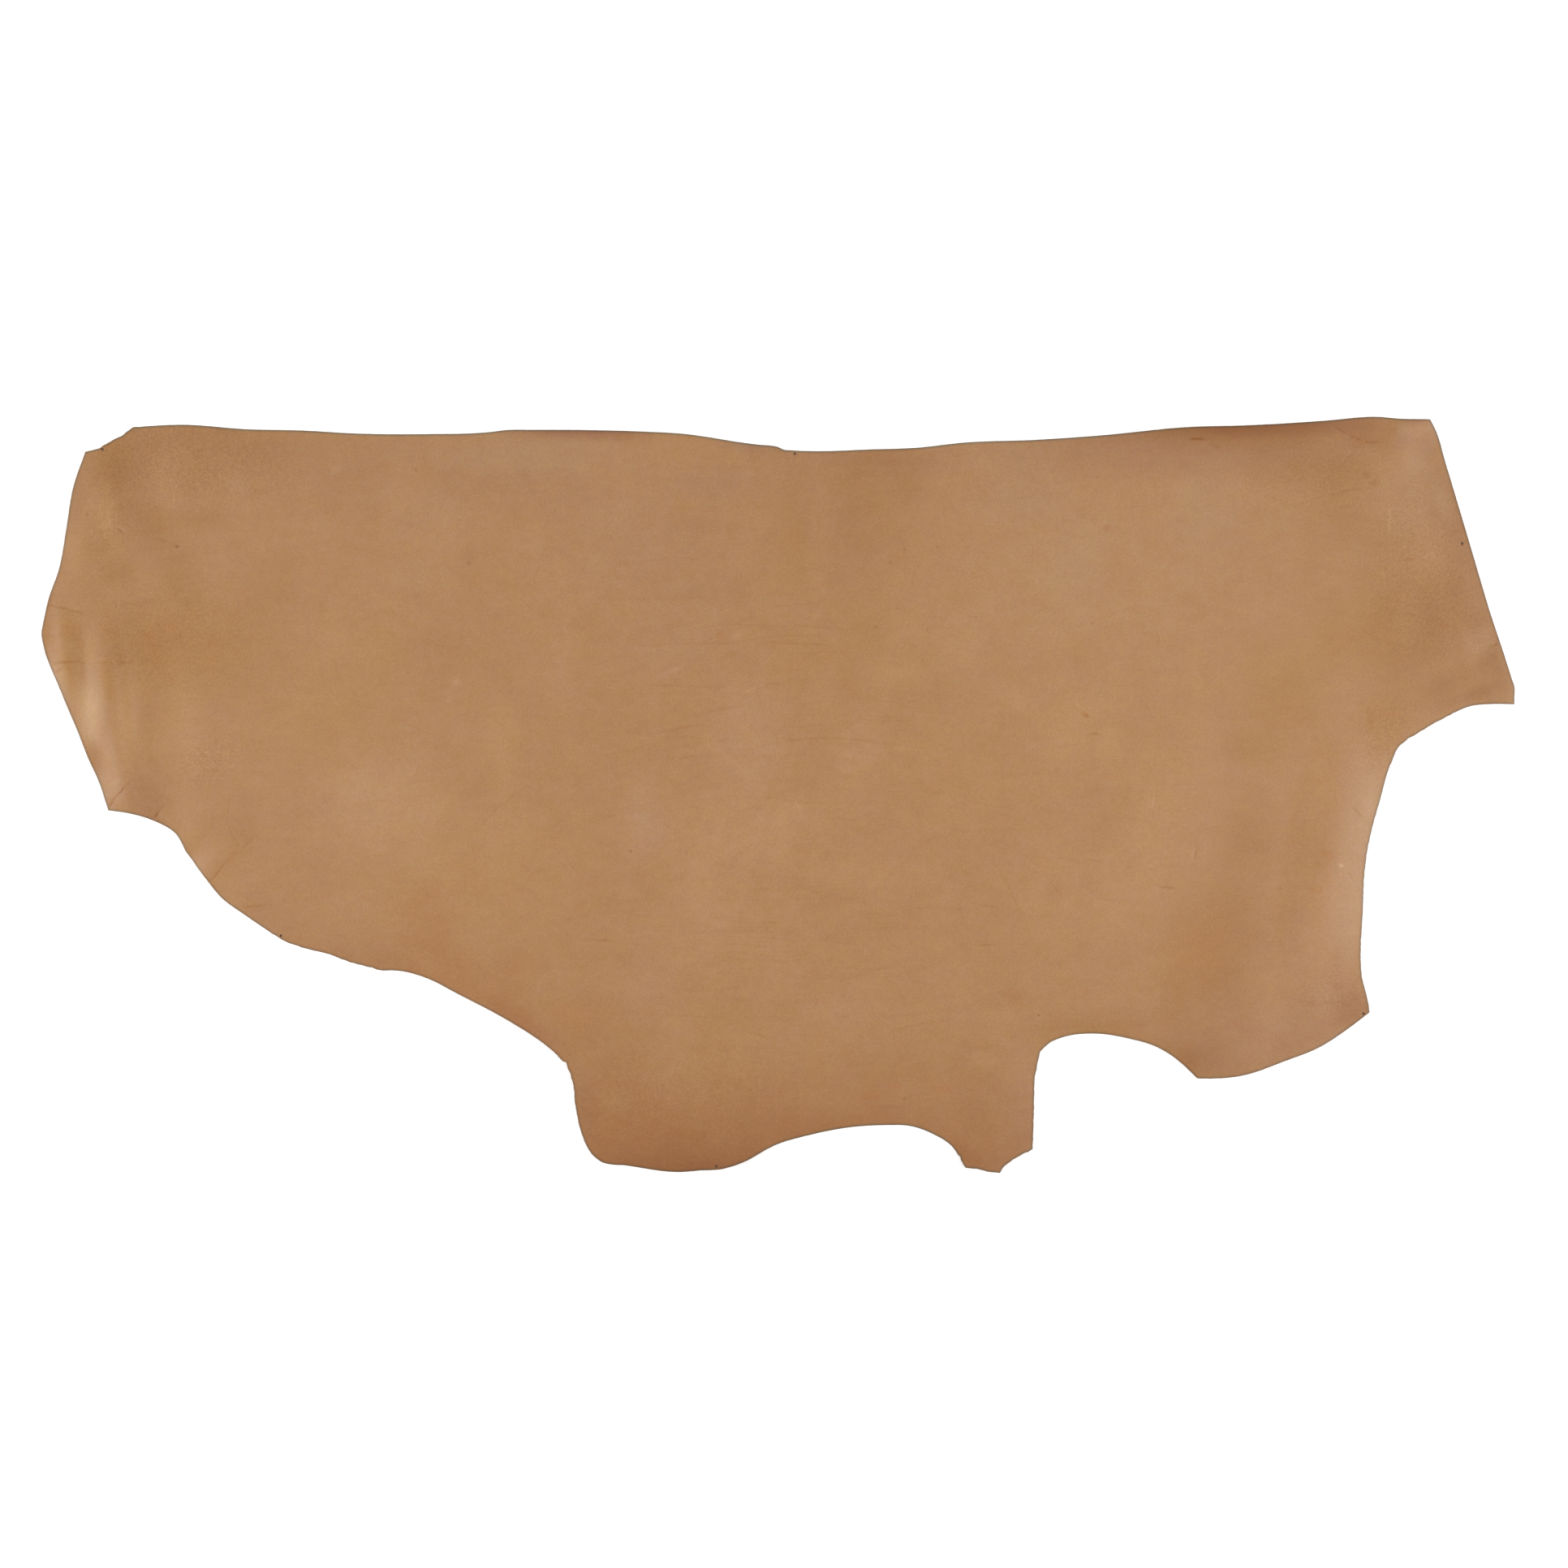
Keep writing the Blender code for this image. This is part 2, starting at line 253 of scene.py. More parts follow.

# Pits, stains and rubbed spots, and a few painted glints and shades on folds, each a small soft
# oval.
MARKS = {
    "nape_pit": Patch(-938, 388, 0, 9, 8, -34, 2, 0),
    "poll_pit": Patch(-1077, 437, 0, 8, 8, -20, 2, 0),
    "crest_rub": Patch(-690, 508, 20, 26, 14, 6, -1, -1),
    "crest_pit": Patch(-565, 507, 0, 8, 8, -16, 2, 0),
    "rib_pit": Patch(-482, 362, 0, 8, 8, -16, 2, 0),
    "neck_stain_1": Patch(-1053, 262, 30, 38, 24, -2, 4, 2),
    "neck_stain_2": Patch(-982, 245, 80, 40, 28, -2, 5, 2),
    "neck_stain_3": Patch(-950, 262, 0, 36, 30, -2, 5, 1),
    "neck_stain_4": Patch(-1030, 213, 40, 34, 24, -1, 2, 1),
    "neck_stain_5": Patch(-888, 212, 0, 38, 24, -1, 4, 2),
    "neck_stain_6": Patch(-885, 240, 60, 30, 24, -1, 4, 1),
    "neck_stain_7": Patch(-970, 215, 0, 34, 22, -1, 4, 2),
    "neck_stain_8": Patch(-1100, 258, 0, 34, 26, -2, 4, 2),
    "throat_stain": Patch(-853, -98, 50, 30, 14, -6, 9, 5),
    "crest_stain": Patch(-88, 248, 100, 32, 20, -6, 6, 5),
    "back_stain": Patch(40, 212, 0, 32, 18, -2, 4, 2),
    "rump_stain": Patch(905, 552, 20, 40, 26, -2, 4, 2),
    "loin_stain": Patch(480, 125, 150, 20, 11, -15, 12, 7),
    "belly_stain_1": Patch(8, -459, 30, 36, 14, -5, 7, 4),
    "belly_stain_2": Patch(255, -460, 0, 60, 16, -2, 6, 3),
    "belly_stain_3": Patch(67, -410, 95, 110, 24, -2, 4, 2),
    "hip_stain_1": Patch(838, -148, -10, 32, 15, -6, 7, 4),
    "hip_stain_2": Patch(858, -93, -20, 36, 17, -6, 7, 4),
    "loin_spot": Patch(514, 417, 0, 22, 18, -9, 5, 3),
    "rump_spot_1": Patch(919, 500, 0, 20, 18, -11, 4, 4),
    "rump_spot_2": Patch(1040, 263, 0, 20, 16, -7, 8, 4),
    "shank_spot_1": Patch(875, -300, 20, 26, 18, -7, 4, 0),
    "shank_spot_2": Patch(832, -326, 20, 24, 16, -6, 4, 0),
    "shank_spot_3": Patch(715, -355, 0, 30, 22, -3, 4, 0),
    "crest_scratch": Patch(-172, 190, 26, 62, 11, 10, -3, -7),
    "crest_scratch_end": Patch(-156, 198, 22, 30, 11, 5, -2, -4),
    "rib_rub_1": Patch(-503, 176, 40, 24, 15, 10, -2, -5),
    "rib_rub_2": Patch(-514, 149, 60, 20, 11, 8, -2, -4),
    "back_rub": Patch(-64, 249, 25, 28, 13, 9, -3, -3),
    "tail_fold_painted_highlight": Patch(1103, 230, 38, 58, 34, 6, -2, -3),
    "tail_fold_painted_shade": Patch(1108, 212, 40, 80, 26, -5, 1, 1),
    "corner_painted_glint_1": Patch(977, 570, 60, 44, 34, 7, -3, -3),
    "corner_painted_glint_2": Patch(1021, 545, 62, 46, 14, 4, -2, -2),
    "back_rub_2": Patch(88, 285, 70, 20, 9, 9, -2, -3),
    "back_rub_3": Patch(60, 279, 20, 24, 9, 6, -2, -2),
    "flank_rub": Patch(878, -110, 0, 12, 10, 26, -4, -6),
    "middle_rub_1": Patch(30, -20, 0, 24, 14, 5, -2, -2),
    "middle_rub_2": Patch(110, 40, 0, 40, 24, 3, -2, -1),
    "belly_rub_1": Patch(-168, -433, 0, 20, 14, 5, -2, -2),
    "belly_rub_2": Patch(-115, -475, 0, 18, 14, 5, -2, -2),
    "middle_pit": Patch(-230, -88, 0, 9, 8, -22, 2, -2),
    "flank_pit_ring": Patch(407, -344, 0, 18, 18, 5, -2, -2),
    "flank_pit": Patch(407, -344, 0, 7, 7, -30, 2, -2),
    "belly_pit": Patch(197, -474, 0, 8, 7, -20, 3, 0),
    "back_pit_1": Patch(198, 383, 0, 8, 7, -15, 2, 0),
    "back_pit_2": Patch(175, 362, 0, 8, 7, -14, 2, 0),
    "back_pit_3": Patch(210, 332, 0, 7, 7, -13, 2, 0),
    "back_pit_4": Patch(186, 291, 0, 7, 7, -13, 2, 0),
    "back_pit_5": Patch(153, 262, 0, 7, 7, -13, 2, 0),
    "back_pit_6": Patch(309, 277, 0, 7, 7, -13, 2, 0),
    "back_pit_7": Patch(226, 210, 0, 7, 7, -13, 2, 0),
    "back_pit_8": Patch(233, 258, 0, 7, 7, -13, 2, 0),
    "back_pit_9": Patch(248, 388, 0, 7, 7, -12, 2, 0),
    "rump_spot_3": Patch(930, 487, 0, 24, 18, -11, 5, 5),
    "belly_stain_4": Patch(143, -470, 0, 40, 15, -5, 7, 3),
    "belly_stain_5": Patch(182, -455, 0, 30, 15, -3, 6, 2),
    "flank_stain": Patch(372, -322, -33, 90, 26, -2, 2, 2),
    "tail_dent": Patch(924, 120, 98, 58, 14, -6, 2, 3),
    "tail_stain": Patch(953, 128, 0, 26, 15, -1, 5, 1),
    "rib_spot": Patch(-482, 375, 80, 50, 34, -5, 1, 1),
    "back_spot": Patch(-121, 417, 0, 60, 48, -3, 2, 0),
    "neck_edge_spot": Patch(-1138, 303, 70, 38, 18, -10, 6, 2),
    "loin_pit": Patch(490, 268, 0, 8, 7, -14, 2, 0),
    "neck_foot_painted_glint": Patch(-1031, -14, 50, 26, 12, 5, -1, -1),
}

# Cloudy shades of the dye, and painted highlights and shade where waves and lifted edges catch or
# lose
# the light, as soft ovals: middle, turn, length and width as in Patch, then how much lighter,
# redder and yellower than the leather's own colour, in display steps.
PATCHES = {
    # The neck: painted highlights along the ripples and painted shade between them, over the dye's
    # own tone; painted shade also damps the throat wave.
    "neck": (  # darker and browner between the ripples, which shine
        (-1035, 520, 20, 220, 140, -10.5, 2, 4.5),
        (-1000, 440, 100, 240, 110, -11.5, 1, 4),
        (-1095, 395, 80, 170, 80, -2.5, 1, 3.5),
        (-950, 240, -5, 480, 260, -8.5, 3, 9),
        (-1015, 240, 90, 180, 120, -2, -0.5, -3),
        (-930, 110, 90, 220, 120, 6, -0.5, 0.5),
        (-985, 0, 80, 160, 100, -5.5, 0.5, -2.5),
        (-890, -90, 115, 300, 120, 5.5, -0.5, -1),
        (-1082, 125, 102, 180, 50, 14, -4, -1),
        (-1020, 110, 95, 210, 48, 7.5, 0, 5.5),
        (-1048, 440, 100, 120, 50, 7.5, -1, -0.5),
        (-1116, 262, 100, 70, 36, 0, 0.5, 6),
        (-1010, 240, 100, 190, 60, -4.5, 1, 5.5),
        (-985, 90, 95, 240, 45, -5, 0.5, 5),
        (-1068, 62, 110, 76, 38, -19, 6.5, 16),
        (-1050, 180, 100, 110, 36, -4, 3, 10.5),
        (-1070, 350, 90, 200, 90, -5, 1, 3.5),
        (-940, 370, 110, 240, 90, -8, 1.5, 4.5),
        (-790, 330, 90, 170, 140, -4.5, 1, 2),
        (-890, 500, 0, 240, 130, -8, 1.5, 3.5),
        (-1120, 210, 110, 170, 40, -7, 3.5, 18),
        (-893, -75, 50, 120, 60, -8, 2.5, 8),
        (-1067, 135, 98, 130, 40, 9.5, -2, 7.5),
        (-1041, 30, 100, 130, 34, 0.5, 1.5, 6.5),
        (-1137, 255, 95, 120, 32, -7.5, 4.5, 6),
        (-1122, 190, 108, 70, 30, 6.5, -2.5, -0.5),
        (-1037, 388, 0, 64, 60, -3, -0.5, 7.5),
        (-1095, 375, 80, 130, 40, 4.5, -1.5, 1.5),
        (-1020, 508, 0, 130, 64, -3, 0, -1),
        (-965, 430, 0, 70, 56, -2, 1.5, 2.5),
        (-1073, 225, 92, 90, 26, 0.5, 3, 10),
        (-1040, 200, 95, 170, 40, 3, -0.5, -2.5),
        (-1028, 348, 0, 84, 70, -11.5, 1.5, 8),
        (-895, 432, 0, 120, 64, -10.5, 2, 4),
        (-1100, 455, 82, 150, 54, -14.5, 4, 7),
        (-1050, 75, 98, 170, 34, -1.5, 1.5, 3),
        (-1022, 80, 98, 170, 40, 2.5, 0, -5),
        (-1024, 2, 60, 60, 34, -4.5, 2.5, 0),
        (-975, -38, -35, 70, 30, -4.5, 2, -0.5),
    ),
    "shoulder": (  # pale in the middle, redder to the elbow and the chest
        (-900, 565, 0, 520, 130, -11.5, 1.5, 3.5),
        (-620, -10, 20, 320, 250, 10, -3, -3.5),
        (-550, -200, 110, 260, 150, -5, 3.5, 2),
        (-590, -280, -15, 420, 160, -6, 3, 1),
        (-440, -320, -30, 380, 150, -6, 4, 2.5),
        (-720, 120, 30, 420, 240, 1, 0.5, 4),
        (-615, 245, 50, 180, 130, 2, -0.5, 3),
        (-860, -50, 45, 170, 110, -3.5, 1.5, 1),
        (-780, -200, -40, 210, 80, -4, 1.5, -0.5),
        (-640, -258, -10, 230, 60, -4, 1.5, -2),
        (-545, -262, -20, 120, 50, 6, -2.5, -0.5),
        (-660, -165, 40, 110, 80, 3.5, -2, -2),
        (-790, 520, -10, 170, 84, -5, 1, 0),
        (-850, 485, 0, 64, 50, 7.5, -5, -4),
    ),
    "crest": (  # cooler, with pale spots
        (-600, 500, 0, 620, 220, -4.5, -1.5, -2),
        (-420, 528, 0, 560, 90, 5, -1.5, -2),
        (-585, 480, 0, 140, 120, 5.5, 0.5, 1),
        (-575, 340, 0, 190, 80, 4, -3.5, -2.5),
        (-690, 245, 0, 120, 100, 4, -0.5, 1),
        (-710, 420, 110, 120, 70, 4, -2.5, -1),
        (-40, 545, -6, 160, 40, -8, -1.5, -8),
    ),
    "ribs": (  # pale spots on warm brown
        (-540, 430, 0, 260, 160, 4.5, -2.5, -2.5),
        (-540, 225, 0, 240, 110, -2.5, 0.5, 0),
        (-480, -120, 10, 560, 320, 2.5, 1, 2),
        (-430, 80, 90, 200, 90, 7, -1, 0.5),
        (-340, 190, 90, 240, 80, 5, -1.5, -2),
        (-500, 110, 0, 150, 90, 4, -1, -2),
        (-560, -90, 80, 240, 90, 3.5, -2.5, -1.5),
        (-130, -100, 100, 280, 150, 4.5, -1, -1.5),
        (-440, -50, 20, 220, 120, 3, -1, -1),
        (-390, 390, 0, 120, 110, 2.5, -2, -2.5),
        (-400, -262, 0, 120, 60, -5, 4, 2),
        (-190, -120, 90, 110, 60, -2.5, 2.5, 0.5),
        (-345, 330, 80, 110, 84, 4, -1, -1.5),
    ),
    # Painted shade along the back edge, darkest to the rear, where the edge stands off the table.
    "spine": (  # the edge of the back, darker and browner to the rear
        (-370, 540, 0, 380, 130, -1.5, -3.5, -4),
        (760, 595, 2, 600, 150, -22.5, 12, 26),
        (640, 570, 2, 860, 200, -12, -0.5, -6.5),
        (-310, 570, -2, 350, 44, -24, 6.5, -8.5),
        (40, 530, 0, 240, 50, -0.5, 1, -3),
        (780, 580, 2, 560, 60, -18.5, 2, -3.5),
    ),
    "back": (  # cool in front, then a brown saddle
        (-200, 400, 0, 420, 320, 1.5, -3, -5),
        (-350, 470, 0, 260, 120, -1.5, -1.5, -3),
        (-130, 420, 20, 280, 180, -2.5, 1, 2),
        (-160, 240, 10, 300, 160, 1.5, -2.5, -4),
        (90, 460, 95, 440, 300, -7.5, 0, -0.5),
        (140, 480, 90, 260, 200, -1.5, 1.5, 3),
        (140, 260, 100, 200, 140, -1.5, 0, 3.5),
        (35, 215, 0, 180, 140, -1, 1, 2.5),
        (25, 390, 90, 220, 90, -1, 1.5, 3.5),
        (70, 460, 90, 170, 90, 6, -1.5, -1.5),
        (65, 350, 90, 190, 70, 5, -1.5, 0.5),
        (120, 60, 70, 240, 110, 5.5, -1.5, -2),
        (-20, 60, 0, 170, 100, 2.5, -1.5, -0.5),
        (-90, 490, 0, 240, 90, -2, -2, -5),
        (-110, 320, 0, 260, 80, -2.5, -0.5, 0),
        (105, 200, 90, 160, 60, -2, 1, 3),
        (205, 480, 0, 110, 84, -6.5, 0.5, 0.5),
    ),
    "middle": (  # pale round the navel
        (-50, 90, 80, 300, 190, 5.5, -2, -5),
        (-30, -60, -10, 280, 200, 8, -2, -2.5),
        (-210, -40, 90, 220, 120, 7.5, -2, -3.5),
        (-200, -290, 90, 200, 120, 0.5, 0, -4),
        (-100, -200, 0, 340, 220, 4.5, -0.5, -2),
        (160, -120, 0, 280, 80, 4, 0, 0),
        (110, -340, 0, 140, 80, 4, -1.5, -3.5),
        (10, -270, 90, 120, 70, 3.5, -0.5, -1.5),
        (35, -80, 90, 130, 70, -3.5, 2, 2.5),
        (-205, -40, 90, 150, 90, -2.5, -1, -3.5),
    ),
    "loin": (  # pale, with browner spots
        (270, 30, -20, 320, 240, 2.5, 0.5, 3),
        (480, 330, 0, 660, 420, 5, -3, -1.5),
        (470, 370, 90, 200, 150, 1, -2, -2.5),
        (680, 430, 100, 260, 190, 1.5, -3, -3.5),
        (470, 130, 0, 260, 170, 5.5, -1.5, 1),
        (200, 290, 90, 170, 90, 3, -2, -0.5),
        (290, 230, 90, 180, 110, 5, -2, -1),
        (350, 150, 0, 140, 90, 4.5, -0.5, -1),
        (440, 60, 90, 260, 130, 3.5, -0.5, 1),
        (520, 60, 90, 150, 70, 5, -1, 1.5),
        (430, -150, 90, 300, 150, 4, 0.5, 0.5),
        (340, 530, 0, 300, 80, 2.5, -2.5, -2.5),
        (190, 525, 0, 280, 90, -7.5, 0.5, -2),
        (530, 330, 100, 170, 110, -3, 1.5, 1.5),
        (470, 225, 0, 180, 70, -1.5, 2, 2.5),
        (430, 150, 0, 130, 60, -3.5, 2, -1),
        (250, 20, 20, 220, 90, -2.5, 0.5, -1.5),
        (380, 470, 0, 260, 150, 1, -3.5, -4.5),
        (200, 195, 20, 170, 90, 3.5, -1, 2),
        (430, -150, 90, 84, 50, -5.5, 0.5, -0.5),
    ),
    # On the lifted shank the darkening is partly painted shade, against the light the lift
    # catches.
    "flank": (  # pale above, dark and red on the thigh and shank
        (610, 40, 70, 320, 190, 4.5, -1, 2),
        (560, -120, 60, 340, 210, 6.5, -1, -0.5),
        (690, -230, 60, 300, 240, -11, 2.5, 2.5),
        (655, -245, 70, 220, 170, 1.5, 3, 4.5),
        (645, -420, 0, 190, 150, -15.5, 2.5, 3),
        (800, -380, 25, 420, 200, -5, -0.5, -6),
        (740, -80, 0, 180, 130, -3.5, 2, 0),
        (520, -370, 0, 360, 110, -9.5, 3, 3),
        (690, -350, 90, 230, 180, -6.5, 1, 0),
        (905, -345, 20, 120, 90, -11.5, 4, 2),
        (760, -390, 60, 140, 80, 3, 0, -1),
        (615, -330, 80, 180, 80, -7.5, 2, 3),
        (290, -560, -40, 90, 50, -9.5, 3, 1.5),
        (375, -555, 60, 90, 60, -8, 3, 3),
        (355, -315, 0, 140, 54, -4.5, 2, 0.5),
        (640, -402, 95, 120, 48, -5, 4, 2.5),
    ),
    "hip": (  # yellow brown
        (790, 160, 90, 280, 210, -3.5, 1, 9),
        (880, 460, 60, 220, 150, -9, 1, 5),
        (640, 175, 0, 210, 70, 2.5, -0.5, 3),
        (640, 460, 60, 120, 70, 3, -3, 1),
        (790, 430, 0, 150, 100, -0.5, -2.5, 2),
        (800, 130, 0, 150, 120, -3, 2.5, -1),
        (620, 80, 0, 130, 100, -2.5, 0.5, -1),
        (730, -60, 90, 230, 140, -5, 0.5, 4),
        (680, -150, 0, 150, 120, -0.5, 0.5, 2.5),
        (850, 330, 0, 200, 190, -3.5, 0, 3),
        (735, 72, 0, 140, 84, -6, 1, 6),
    ),
    # The darkening into the corner is painted shade over its small lift.
    "rump": (  # brown, and dark to the corner
        (910, 260, 20, 320, 200, -1.5, 1.5, 4.5),
        (1030, 280, 0, 240, 200, -9.5, 1.5, 4),
        (1000, 475, 90, 180, 140, -1.5, -2.5, -1.5),
        (1070, 420, 105, 320, 140, -16.5, 2, 2.5),
        (830, 520, 0, 320, 130, -11.5, 1.5, 6),
        (980, 250, 100, 400, 260, -12, 2.5, 8.5),
        (1090, 180, 0, 140, 120, 0, 0, 3.5),
        (940, 400, 0, 180, 140, -5.5, -1, 4),
        (1098, 238, 38, 100, 44, -3, 1, 4),
        (940, 110, 40, 170, 110, -5.5, 3, 7),
        (1003, 592, -3, 90, 40, -20, 6, 2),
        (978, 560, 75, 70, 46, -1.5, -2, -11.5),
        (925, 560, 0, 120, 70, -14, 4.5, 6.5),
        (1012, 545, 62, 80, 60, -14, 3, 0),
        (1018, 508, 70, 70, 44, -1, -1, -0.5),
        (982, 275, 95, 150, 90, 8, -1.5, -6.5),
        (1040, 455, 110, 100, 40, 10.5, -4, -6),
        (862, 240, 90, 190, 74, -4.5, 1.5, 4),
    ),
    # Painted light and shade over the lifted tail end.
    "tail": (  # a pale end with dark edges
        (1110, 220, 100, 300, 120, -9, -0.5, -0.5),
        (1130, 190, 104, 150, 50, -12.5, 3.5, 11),
        (1045, 170, 35, 140, 70, -11, 2, 3.5),
        (1055, 320, 105, 120, 60, -7, 1.5, 4.5),
        (1080, 225, 100, 120, 40, 11, -2.5, -8),
        (1078, 152, 22, 150, 36, -13, 2, 0),
        (1098, 245, 40, 70, 50, 12, -2, -7.5),
    ),
    # Painted highlight along the raised rim, and painted light over the shaded side of its ridge.
    "bay": (  # pale along the raised rim of the rump bay
        (850, 20, 85, 230, 90, 3, 1, 0.5),
        (845, -180, 85, 250, 90, 5, -0.5, -1),
        (815, -240, 85, 160, 70, 2, -1, -6.5),
        (932, 0, 75, 170, 50, 11.5, -4.5, -6.5),
        (905, -200, 92, 260, 50, 4.5, -1, -2),
        (890, -320, 60, 110, 70, -6, 1.5, 0),
        (870, -270, 85, 120, 50, -8, 2, 5),
    ),
    # Painted shade, darker and redder, towards the lifted belly edge.
    "belly": (  # dark and red to the edge, with paler spots
        (20, -600, 0, 1100, 440, -26, 8.5, 3),
        (-170, -600, 0, 520, 220, -10, 1.5, -0.5),
        (395, -500, 95, 320, 110, -2.5, 0, -6.5),
        (-240, -520, 0, 300, 170, -8, 4.5, 1.5),
        (-310, -350, 60, 180, 130, -6.5, 1.5, 1),
        (-90, -390, 100, 280, 140, -1.5, 1, 2.5),
        (-260, -430, 70, 260, 220, -8, 3, 1.5),
        (230, -410, 0, 420, 140, -4.5, 1.5, 1),
        (320, -480, 100, 260, 150, -6, 1, 1),
        (330, -580, 0, 140, 70, -6, 1.5, -1.5),
        (-240, -515, 0, 110, 70, 4, -2, -1),
        (60, -480, 0, 180, 80, 4.5, -1, 0),
        (-310, -345, 0, 140, 70, 4, 2, 1.5),
        (-160, -530, 0, 380, 120, 3, -1.5, 1.5),
        (-190, -578, -2, 340, 50, -6.5, 1, 3.5),
        (-395, -365, -38, 220, 70, -9.5, 4, -2),
        (-305, -480, 100, 190, 60, -6, 0, -3),
        (322, -415, 0, 84, 50, 7.5, -1.5, -2),
        (-255, -478, 0, 84, 60, 8, -4.5, -1),
    ),
}

# Where the grain is pebbled, and where it is drawn into fine wrinkles, from 0 to 1 in the middle.
Area = namedtuple("Area", "x y turn length width strength")
PEBBLED = (
    Area(-930, 520, -3, 420, 190, 1.05),
    Area(-1040, 440, 80, 260, 110, 0.8),
    Area(-960, 250, 0, 380, 220, 0.7),
    Area(-885, 55, 20, 130, 90, 1.0),
    Area(950, 95, 40, 160, 130, 0.9),
    Area(1010, 330, 100, 360, 220, 0.95),
    Area(850, 500, 0, 300, 150, 0.6),
    Area(860, -310, 20, 160, 80, 0.7),
    Area(-150, -480, 0, 420, 200, 0.5),
)
WRINKLED = (
    Area(-20, 170, 0, 760, 480, 0.95),
    Area(0, -250, 0, 820, 360, 0.8),
    Area(-500, -40, 40, 420, 300, 0.4),
    Area(420, -60, -50, 460, 300, 0.4),
    Area(-990, 260, -5, 340, 260, 0.7),
    Area(970, 320, 4, 360, 340, 0.8),
)
# Where the darker rim along the cut, partly worn and partly painted shade, is greyed, along the
# back and the belly. Elsewhere it is brown.
GREYED = (
    Area(0, 570, 0, 2500, 240, 2.5),
    Area(60, -590, 0, 900, 240, 2.5),
)

# In the frame's hide, points nearer than this are one, and faces this steep and more look up.
WELD = 0.01 * MM
LOOKS_UP = 0.5
# A smooth bend's handles reach a third of its length.
HANDLE_PART = 3
# The knife's wander: how wide its sways are, how far each goes, and how much lies outside.
KNIFE_SWAYS = ((9 * MM, 1.0), (4 * MM, 0.6))
KNIFE_OUTSIDE = 0.35


def grain_loops(node):
    """The loops round the upper side of the frame's hide: its cut edge, then its holes."""
    bm = bmesh.new()
    bm.from_mesh(node.data)
    bmesh.ops.remove_doubles(bm, verts=bm.verts[:], dist=WELD)
    upper = [face for face in bm.faces if face.normal.z > LOOKS_UP]
    among = set(upper)
    after = {}
    for face in upper:
        for loop in face.loops:
            if sum(other in among for other in loop.edge.link_faces) == 1:
                after[loop.vert] = loop.link_loop_next.vert
    loops = []
    while after:
        start = next(iter(after))
        vert = start
        loop = []
        while vert in after:
            loop.append(vert.co.to_2d())
            vert = after.pop(vert)
        loops.append(loop)
    bm.free()
    loops.sort(key=len, reverse=True)
    return loops


def is_corner(before, here, after):
    return (here - before).angle(after - here) > math.radians(CORNER_TURN)


def edge_direction(before, here, after):
    back = here - before
    ahead = after - here
    return (back.normalized() * ahead.length + ahead.normalized() * back.length).normalized()


def bend(start, leaving, arriving, end, steps):
    """Points along a smooth bend from start to end, without the end itself."""
    reach = (end - start).length / HANDLE_PART
    handles = (start + leaving * reach, end - arriving * reach)
    return interpolate_bezier(start, *handles, end, steps + 1)[:-1]


def fine_edge(loop):
    """A smooth curve through the frame's coarse edge, which keeps its corners."""
    count = len(loop)
    curve = []
    for index in range(count):
        before, start, end, beyond = (loop[(index + step) % count] for step in (-1, 0, 1, 2))
        leaving = arriving = (end - start).normalized()
        if not is_corner(before, start, end):
            leaving = edge_direction(before, start, end)
        if not is_corner(start, end, beyond):
            arriving = edge_direction(start, end, beyond)
        steps = math.ceil((end - start).length / EDGE_STEP)
        curve.extend(bend(start, leaving, arriving, end, steps))
    return np.array(curve)


def left_of(along):
    """Each direction turned a quarter to the left, and one long."""
    along = along / np.linalg.norm(along, axis=1)[:, None]
    return np.column_stack((-along[:, 1], along[:, 0]))


def inward(loop):
    """At each point of an anticlockwise loop, the way into the leather."""
    return left_of(np.roll(loop, -1, axis=0) - np.roll(loop, 1, axis=0))


def sway(x, y, layer, wide):
    """A smooth random sway between -1 and 1. Each layer has its own."""
    return noise.noise(Vector((x, y, layer)) / wide)


def ragged(loop):
    """The edge as the knife left it, a little in and out."""
    way = inward(loop)
    moved = loop.copy()
    for index, (x, y) in enumerate(loop):
        ragged_by = EVEN_EDGE
        for rough in ROUGH_EDGES:
            if math.dist((x, y), (rough.x * MM, rough.y * MM)) < rough.reach * MM:
                ragged_by = rough.ragged
        wander = sum(share * sway(x, y, layer, wide)
                     for layer, (wide, share) in enumerate(KNIFE_SWAYS))
        moved[index] += way[index] * (wander + KNIFE_OUTSIDE) * ragged_by * MM
    return moved


def oval(points, shape, lean=0.0):
    """1 in the middle of a soft oval, falling to 0 on its rim."""
    turn = math.radians(shape.turn)
    right = points[:, 0] - shape.x * MM
    up = points[:, 1] - shape.y * MM
    along = (right * math.cos(turn) + up * math.sin(turn)) / (shape.length * MM / 2)
    across = (up * math.cos(turn) - right * math.sin(turn)) / (shape.width * MM / 2)
    across += lean * np.clip(1 - across ** 2, 0, None)
    return np.clip(1 - along ** 2 - across ** 2, 0, None) ** 2


def lift(points):
    """How high the flesh side stands off the table."""
    height = np.zeros(len(points))
    for fold in FOLDS.values():
        height += fold.rise * MM * oval(points, fold, fold.lean)
    return height


# A crease is drawn as a row of points and a pair of rows on each side of it: how far off in
# millimetres, and what share of the darkness. It wanders a little and is darker here than there.
CREASE_STEP = 5 * MM
CREASE_ROWS = ((0, 1.0), (1.4, 0.25), (-1.4, 0.25), (4.0, 0.0), (-4.0, 0.0))
CREASE_WANDER = 1.2 * MM
CREASE_WANDER_WIDE = 18 * MM
CREASE_WANDER_LAYER = 3
CREASE_DEEP = 0.045 * MM
CREASE_EVEN = 0.75
CREASE_UNEVEN = 0.7
CREASE_UNEVEN_WIDE = 14 * MM
CREASE_UNEVEN_LAYER = 5
# It fades over a quarter of its length at each end, to a quarter of its darkness.
CREASE_FADING = 4
CREASE_END = 0.25


